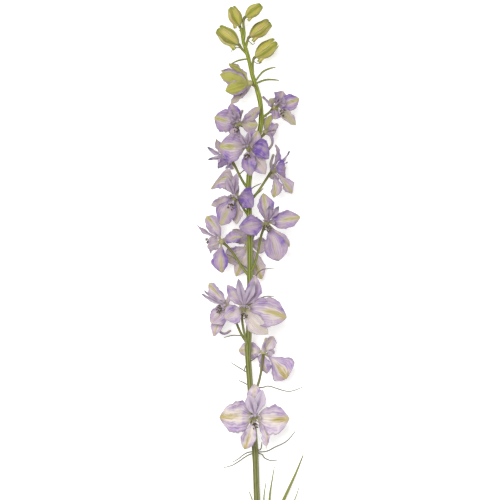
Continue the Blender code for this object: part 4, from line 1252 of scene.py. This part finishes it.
def path_mesh(name, paths):
    """Edges along each path, with the section's radius and the marks at every point."""
    places, edges = [], []
    marks = {"girth": [], "age": [], "bract": []}
    for path in paths:
        first = len(places)
        count = len(path.points)
        places.extend(tuple((Vector(p) - MIDDLE) * MM) for p in path.points)
        edges.extend((first + i, first + i + 1) for i in range(count - 1))
        marks["girth"].extend(girth * MM for girth in path.girths)
        marks["age"].extend(path.age * share for share in shares(count))
        marks["bract"].extend([path.bract] * count)
    mesh = bpy.data.meshes.new(name)
    mesh.from_pydata(places, edges, [])
    for mark, values in marks.items():
        mesh.attributes.new(mark, "FLOAT", "POINT").data.foreach_set("value", values)
    return mesh


def stem_girth(share, height):
    """The stem's radius, which swells a little where each stalk leaves it."""
    taper = 1 - STEM_TOP_RADIUS / STEM_FOOT_RADIUS
    radius = STEM_FOOT_RADIUS * (1 - taper * max(0, share - 0.12) ** 1.6 / 0.8)
    for axil in [bloom.axil for bloom in BLOOMS] + [bud.axil for bud in BUDS]:
        radius *= 1 + 0.1 * math.exp(-(((height - axil + 1) / 2.2) ** 2))
    return min(radius, STEM_FOOT_RADIUS) if height < FOOT_FLAT + 6 else radius


def stem_paths():
    points = smooth(STEM_ROUTE, STEM_STEPS)
    return [Path(points, [stem_girth(share, p.y) for share, p in zip(shares(STEM_STEPS), points)])]


def stalk_paths(stalks):
    """Stalks that widen where they leave the stem and towards their bloom or bud."""
    paths = []
    for points in stalks.values():
        girths = [
            PEDICEL_RADIUS * (1.15 - 0.25 * t + 0.5 * t**6 + 0.9 * math.exp(-t / 0.07))
            for t in shares(len(points))
        ]
        paths.append(Path(points, girths, age=1.0))
    return paths


def thread_paths(stalks):
    """Bracts and bracteoles, which taper to their tips."""
    paths = []
    for group, thickness in ((THREADS, 1.0), (FINE_THREADS, FINE_THREAD_SHARE)):
        for thread in group:
            if thread.carrier == "stem":
                start = stem_at(thread.place)
            else:
                start = along(stalks[thread.carrier], thread.place)
            girths = []
            for t in shares(THREAD_STEPS):
                slim = 1.3 - 0.15 * t - 0.5 * t**5
                leafy = math.sin(math.pi * (0.12 + 0.8 * t)) * (thread.broad - 1)
                girths.append(THREAD_RADIUS * thickness * (slim + leafy))
            points = smooth([start] + [over_stem(*p) for p in thread.route], THREAD_STEPS)
            paths.append(Path(points, girths, bract=1.0 if thread.broad == 1 else LEAFY_BRACT))
    return paths


def make_stem():
    """The stem with its stalks, and the bracts and bracteoles that grow out of them."""
    material = stem_material()
    tree = stalk_tree()
    stalks = {bloom.name: bloom_stalk(bloom) for bloom in BLOOMS}
    stalks.update({bud.name: bud_stalk(bud) for bud in BUDS})
    parts = []
    for name, paths, sides, ridges, ridge_depth, flatness in (
        ("stem", stem_paths(), 42, 7, 0.05, 1.0),
        ("stalks", stalk_paths(stalks), 16, 4, 0.05, 1.0),
        ("bracts", thread_paths(stalks), 8, 1, 0.0, 0.6),
    ):
        parts.append(grown(
            name, path_mesh(name, paths), tree, sides=sides, ridges=ridges, ridge_depth=ridge_depth,
            flatness=flatness, material=material,
        ))
    dress(joined("flower_stem", parts), material, "stem")


def make_leaf():
    """The divided leaf, whose lobes are narrow grooved straps."""
    material = leaf_material()
    stalk = smooth(LEAF_STALK, LEAF_STALK_STEPS)
    paths = [Path(stalk, [0.75 - 0.1 * t for t in shares(LEAF_STALK_STEPS)])]
    for route, stoutness in zip(LEAF_LOBES, LOBE_STOUTNESS):
        girths = [
            (0.66 * math.sin(math.pi * (0.28 + 0.66 * t)) + 0.08) * stoutness for t in shares(LOBE_STEPS)
        ]
        paths.append(Path(smooth(route, LOBE_STEPS), girths, age=1.0))
    mesh = grown(
        "leaf", path_mesh("leaf", paths), stalk_tree(), sides=16, ridges=2, ridge_depth=0.12, flatness=0.62,
        material=material,
    )
    dress(joined("divided_leaf", [mesh]), material, "leaf_1")


def make_sepals():
    """The ring of sepals, the receptacle and the spur of every bloom."""
    material = sepal_material()
    size = sizes()
    for number, bloom in enumerate(BLOOMS, 1):
        centre, face = bloom_centre(bloom), Vector(bloom.face).normalized()
        gathered = Gathered("tone", "stripe", "green", "seed")
        for k, sepal in enumerate(bloom.sepals):
            rng = np.random.default_rng(100 * number + k)
            tip = Vector(sepal.tip)
            facing = Quaternion(tip.normalized(), math.radians(sepal.roll)) @ face
            grid = blade_grid(
                centre + tip.normalized() * SEPAL_ROOT, centre + tip, facing, sepal.width, sepal.bow,
                sepal.sway, sepal.full, CLAW_HALF_WIDTH, rng, SEPAL_STEPS, sepal.fold, sepal.curl,
                size.ruffle / MM, size.crumple / MM,
            )
            shell(
                gathered, grid, size.sepal_thickness / MM, tone=sepal.tone, stripe=sepal.stripe,
                green=sepal.green, seed=rng.uniform(0, 50),
            )
        ball(gathered, centre, (RECEPTACLE_RADIUS,) * 3, face, tone=0.2, green=0.5)
        # The spur tapers, and swells a little before its tip
        route = smooth([centre] + [centre + Vector(p) for p in bloom.spur], SPUR_STEPS)
        girths = [
            1.25 - 0.75 * share + 0.18 * math.exp(-(((i - 19) / 2.2) ** 2))
            for i, share in enumerate(shares(SPUR_STEPS))
        ]
        tube(gathered, route, girths, tone=0.45, stripe=0.8, green=0.12, seed=number)
        dress(gathered.made(f"sepals_{number:02d}"), material, bloom.name + "_sepals")


def make_inner_petals():
    """The hood and the two wings of every open bloom."""
    material = inner_petal_material()
    for number, bloom in enumerate(BLOOMS, 1):
        if not bloom.hood:
            continue
        centre = bloom_centre(bloom)
        face, crown, side = bloom_axes(bloom)
        out = (face * 0.86 + crown * 0.5).normalized()
        root = centre + out * (RECEPTACLE_RADIUS + SEAT_GAP + INNER_ROOT_RADIUS)
        tip_bruise = BRUISED.get(number, FAINT_BRUISE)
        # Each blade: its tip, the way it faces, width, bow, and its tone, lines and bruise
        blades = [
            (centre + Vector(tip), face - crown * 0.3, bloom.hood_width, 0.06, (0.3, 0.75, tip_bruise))
            for tip in bloom.hood
        ]
        for hand in (-1, 1):
            tip = centre + face * WING_REACH + side * (WING_SPREAD * hand) + crown * WING_RISE
            blades.append((tip, -side * hand - crown, WING_WIDTH, -0.14, (0.05, 0.3, 0)))
        gathered = Gathered("tone", "lines", "bruise", "seed")
        for k, (tip, facing, width, bow, (tone, lines, bruise)) in enumerate(blades):
            rng = np.random.default_rng(5000 + 100 * number + k)
            grid = blade_grid(
                root + (tip - root).normalized() * INNER_ROOT_RADIUS * 0.6, tip, facing, width, bow, 0,
                INNER_FULL, INNER_CLAW_HALF_WIDTH, rng, INNER_PETAL_STEPS, fold=0.5, ruffle=0.25,
                crumple=0.18,
            )
            shell(
                gathered, grid, FINE_THICKNESS, tone=tone, lines=lines, bruise=bruise,
                seed=rng.uniform(0, 50),
            )
        ball(gathered, root, (INNER_ROOT_RADIUS,) * 3, face, segments=12, rings=7, tone=0.1)
        dress(gathered.made(f"inner_petals_{number:02d}"), material, bloom.name + "_petals")


def make_stamens():
    """The column of stamens in every open bloom."""
    material = stamen_material()
    tree = stamen_tree()
    size = sizes()
    for number, bloom in enumerate(BLOOMS, 1):
        if not bloom.hood:
            continue
        centre = bloom_centre(bloom)
        face, crown, _ = bloom_axes(bloom)
        out = (face - crown * 0.35).normalized()
        root = centre + out * (RECEPTACLE_RADIUS + SEAT_GAP + INNER_ROOT_RADIUS)
        lean = (out - crown * 0.1).normalized()
        turn = TOWARDS_VIEW.rotation_difference(lean).to_euler()
        mesh = grown(
            "column", bpy.data.meshes.new("column"), tree, stamens=size.stamens, length=size.stamen_length,
            anther=size.anther, seed=number, root=tuple((root - MIDDLE) * MM), turn=turn, material=material,
        )
        dress(joined(f"stamens_{number:02d}", [mesh]), material, bloom.name + "_stamens")


def bud_grid(base, run, across, other, width, centre_angle, layer, gape):
    """The middle surface of one of the five young sepals that wrap a bud."""
    t = np.linspace(0, 1, BUD_SEPAL_STEPS[0] + 1)[:, None]
    s = np.linspace(-1, 1, BUD_SEPAL_STEPS[1] + 1)[None, :]
    egg = np.sin(math.pi * t**0.92) ** 0.62
    girth = width / 2 * (1 + 0.16 * (t - 0.5)) * np.maximum(egg, 0.02)
    swell = np.sin(math.pi * t)
    # A keel along the middle, with a furrow on each side of it
    keel = 1 + 0.13 * np.exp(-((s / 0.22) ** 2)) * swell
    keel = keel - 0.05 * np.exp(-(((np.abs(s) - 0.5) / 0.2) ** 2)) * swell
    wrap = 1 + 0.05 * layer + 0.1 * s * swell
    open_tip = gape * width / 2 * np.maximum((t - 0.7) / 0.3, 0) ** 1.5
    spread = math.radians(50) * (1 - 0.55 * np.maximum((t - 0.6) / 0.4, 0) ** 2)
    ragged = 1 + 0.04 * np.sin(17 * t + 5 * layer + centre_angle)
    angle = centre_angle + s * spread * ragged
    radius = girth * keel * wrap + open_tip
    place = np.array(base)[None, None] + np.array(run)[None, None] * (t + 0 * s)[:, :, None]
    place = place + (np.array(across) * np.cos(angle)[:, :, None]) * radius[:, :, None]
    return place + (np.array(other) * np.sin(angle)[:, :, None]) * radius[:, :, None]


def make_buds():
    """Closed buds: five young sepals wrapped over an egg-shaped core, with a short spur."""
    material = bud_material()
    for number, bud in enumerate(BUDS, 1):
        base, tip = bud_ends(bud)
        run = tip - base
        across = square_to(TOWARDS_VIEW, run)
        other = run.normalized().cross(across)
        gathered = Gathered("blush", "seed")
        for k in range(5):
            angle = 2 * math.pi * (k + 0.1 + 0.17 * number) / 5
            grid = bud_grid(base, run, across, other, bud.width, angle, k % 2, bud.gape)
            shell(gathered, grid, FINE_THICKNESS, blush=bud.blush, seed=number * 7 + k)
        core = (bud.width * 0.42, bud.width * 0.42, run.length * 0.42)
        ball(gathered, base.lerp(tip, 0.47), core, run, blush=bud.blush, seed=number)
        side = square_to(-UP_THE_STEM, run)
        back = base + run * 0.28 + side * bud.width * 0.3
        route = [back + run * 0.2, back, base - run * 0.02 + side * bud.width * 0.42]
        girths = [bud.width * (0.22 - 0.09 * share) for share in shares(BUD_SPUR_STEPS)]
        tube(gathered, smooth(route, BUD_SPUR_STEPS), girths, blush=bud.blush, seed=number)
        dress(gathered.made(f"green_bud_{number}"), material, bud.name)


def make_stage():
    """A sheet of glowing white paper, a soft light overhead and a camera that looks straight down."""
    scene = bpy.context.scene
    mesh = bpy.data.meshes.new("paper_floor")
    corners = [(x * PAPER_REACH, y * PAPER_REACH, 0) for x, y in ((-1, -1), (1, -1), (1, 1), (-1, 1))]
    mesh.from_pydata(corners, [], [(0, 1, 2, 3)])
    # Lit a little from below, as on a light table, which keeps the paper white under the blooms
    paper = colours().floor
    material, _ = surface(
        "Matt paper", Base_Color=paper, Roughness=0.9, Emission_Color=paper, Emission_Strength=PAPER_GLOW
    )
    mesh.materials.append(material)
    linked("paper_floor", mesh)
    world = bpy.data.worlds.new("Soft studio")
    world.use_nodes = True
    sky = world.node_tree.nodes["Background"]
    sky.inputs["Color"].default_value = (1, 1, 1, 1)
    sky.inputs["Strength"].default_value = SKY_STRENGTH
    scene.world = world
    for name, place, width, power in LAMPS:
        light = bpy.data.lights.new(name, "AREA")
        light.size = width
        light.energy = power
        lamp = linked(name, light)
        lamp.location = place
        lamp.rotation_euler = (Vector(LAMP_AIM) - Vector(place)).to_track_quat("-Z", "Y").to_euler()
    camera = bpy.data.cameras.new("camera")
    camera.lens = 200
    camera.sensor_width = 36
    camera.clip_end = 10
    view = linked("camera", camera)
    view.location = (*VIEW_MIDDLE, STEM_LEVEL + SHOWN_LENGTH * camera.lens / camera.sensor_width)
    scene.camera = view
    scene.view_settings.view_transform = "Standard"


class LARKSPUR_OT_stem(bpy.types.Operator):
    """Make the stem, its stalks and its thread-like bracts"""

    bl_idname = "larkspur.stem"
    bl_label = "Stem"

    def execute(self, context):
        make_stem()
        return {"FINISHED"}


class LARKSPUR_OT_leaf(bpy.types.Operator):
    """Make the divided leaf near the cut end"""

    bl_idname = "larkspur.leaf"
    bl_label = "Leaf"

    def execute(self, context):
        make_leaf()
        return {"FINISHED"}


class LARKSPUR_OT_sepals(bpy.types.Operator):
    """Make the lavender sepals and the spur of every bloom"""

    bl_idname = "larkspur.sepals"
    bl_label = "Sepals"

    def execute(self, context):
        make_sepals()
        return {"FINISHED"}


class LARKSPUR_OT_inner_petals(bpy.types.Operator):
    """Make the hood and wings of every open bloom"""

    bl_idname = "larkspur.inner_petals"
    bl_label = "Inner petals"

    def execute(self, context):
        make_inner_petals()
        return {"FINISHED"}


class LARKSPUR_OT_stamens(bpy.types.Operator):
    """Make the stamens and pistil of every open bloom"""

    bl_idname = "larkspur.stamens"
    bl_label = "Stamens"

    def execute(self, context):
        make_stamens()
        return {"FINISHED"}


class LARKSPUR_OT_buds(bpy.types.Operator):
    """Make the closed buds at the tip"""

    bl_idname = "larkspur.buds"
    bl_label = "Buds"

    def execute(self, context):
        make_buds()
        return {"FINISHED"}


class LARKSPUR_OT_stage(bpy.types.Operator):
    """Make the paper floor, the lights and the camera"""

    bl_idname = "larkspur.stage"
    bl_label = "Stage"

    def execute(self, context):
        make_stage()
        return {"FINISHED"}


OPERATORS = (
    LARKSPUR_OT_stem,
    LARKSPUR_OT_leaf,
    LARKSPUR_OT_sepals,
    LARKSPUR_OT_inner_petals,
    LARKSPUR_OT_stamens,
    LARKSPUR_OT_buds,
    LARKSPUR_OT_stage,
)


class LARKSPUR_PT_panel(bpy.types.Panel):
    """Lists the spike's pieces, sizes and colours"""

    bl_label = "Larkspur spike"
    bl_idname = "LARKSPUR_PT_panel"
    bl_space_type = "VIEW_3D"
    bl_region_type = "UI"
    bl_category = "Larkspur"

    def draw(self, context):
        for operator in OPERATORS:
            self.layout.operator(operator.bl_idname)
        for group in (context.scene.larkspur_sizes, context.scene.larkspur_colours):
            for name in group.__annotations__:
                self.layout.prop(group, name)


CLASSES = (LarkspurSizes, LarkspurColours, *OPERATORS, LARKSPUR_PT_panel)


def register():
    for cls in CLASSES:
        bpy.utils.register_class(cls)
    bpy.types.Scene.larkspur_sizes = PointerProperty(type=LarkspurSizes)
    bpy.types.Scene.larkspur_colours = PointerProperty(type=LarkspurColours)


def unregister():
    del bpy.types.Scene.larkspur_colours
    del bpy.types.Scene.larkspur_sizes
    for cls in reversed(CLASSES):
        bpy.utils.unregister_class(cls)


def main():
    register()
    bpy.ops.larkspur.stem()
    bpy.ops.larkspur.leaf()
    bpy.ops.larkspur.sepals()
    bpy.ops.larkspur.inner_petals()
    bpy.ops.larkspur.stamens()
    bpy.ops.larkspur.buds()
    bpy.ops.larkspur.stage()


if __name__ == "__main__":
    main()
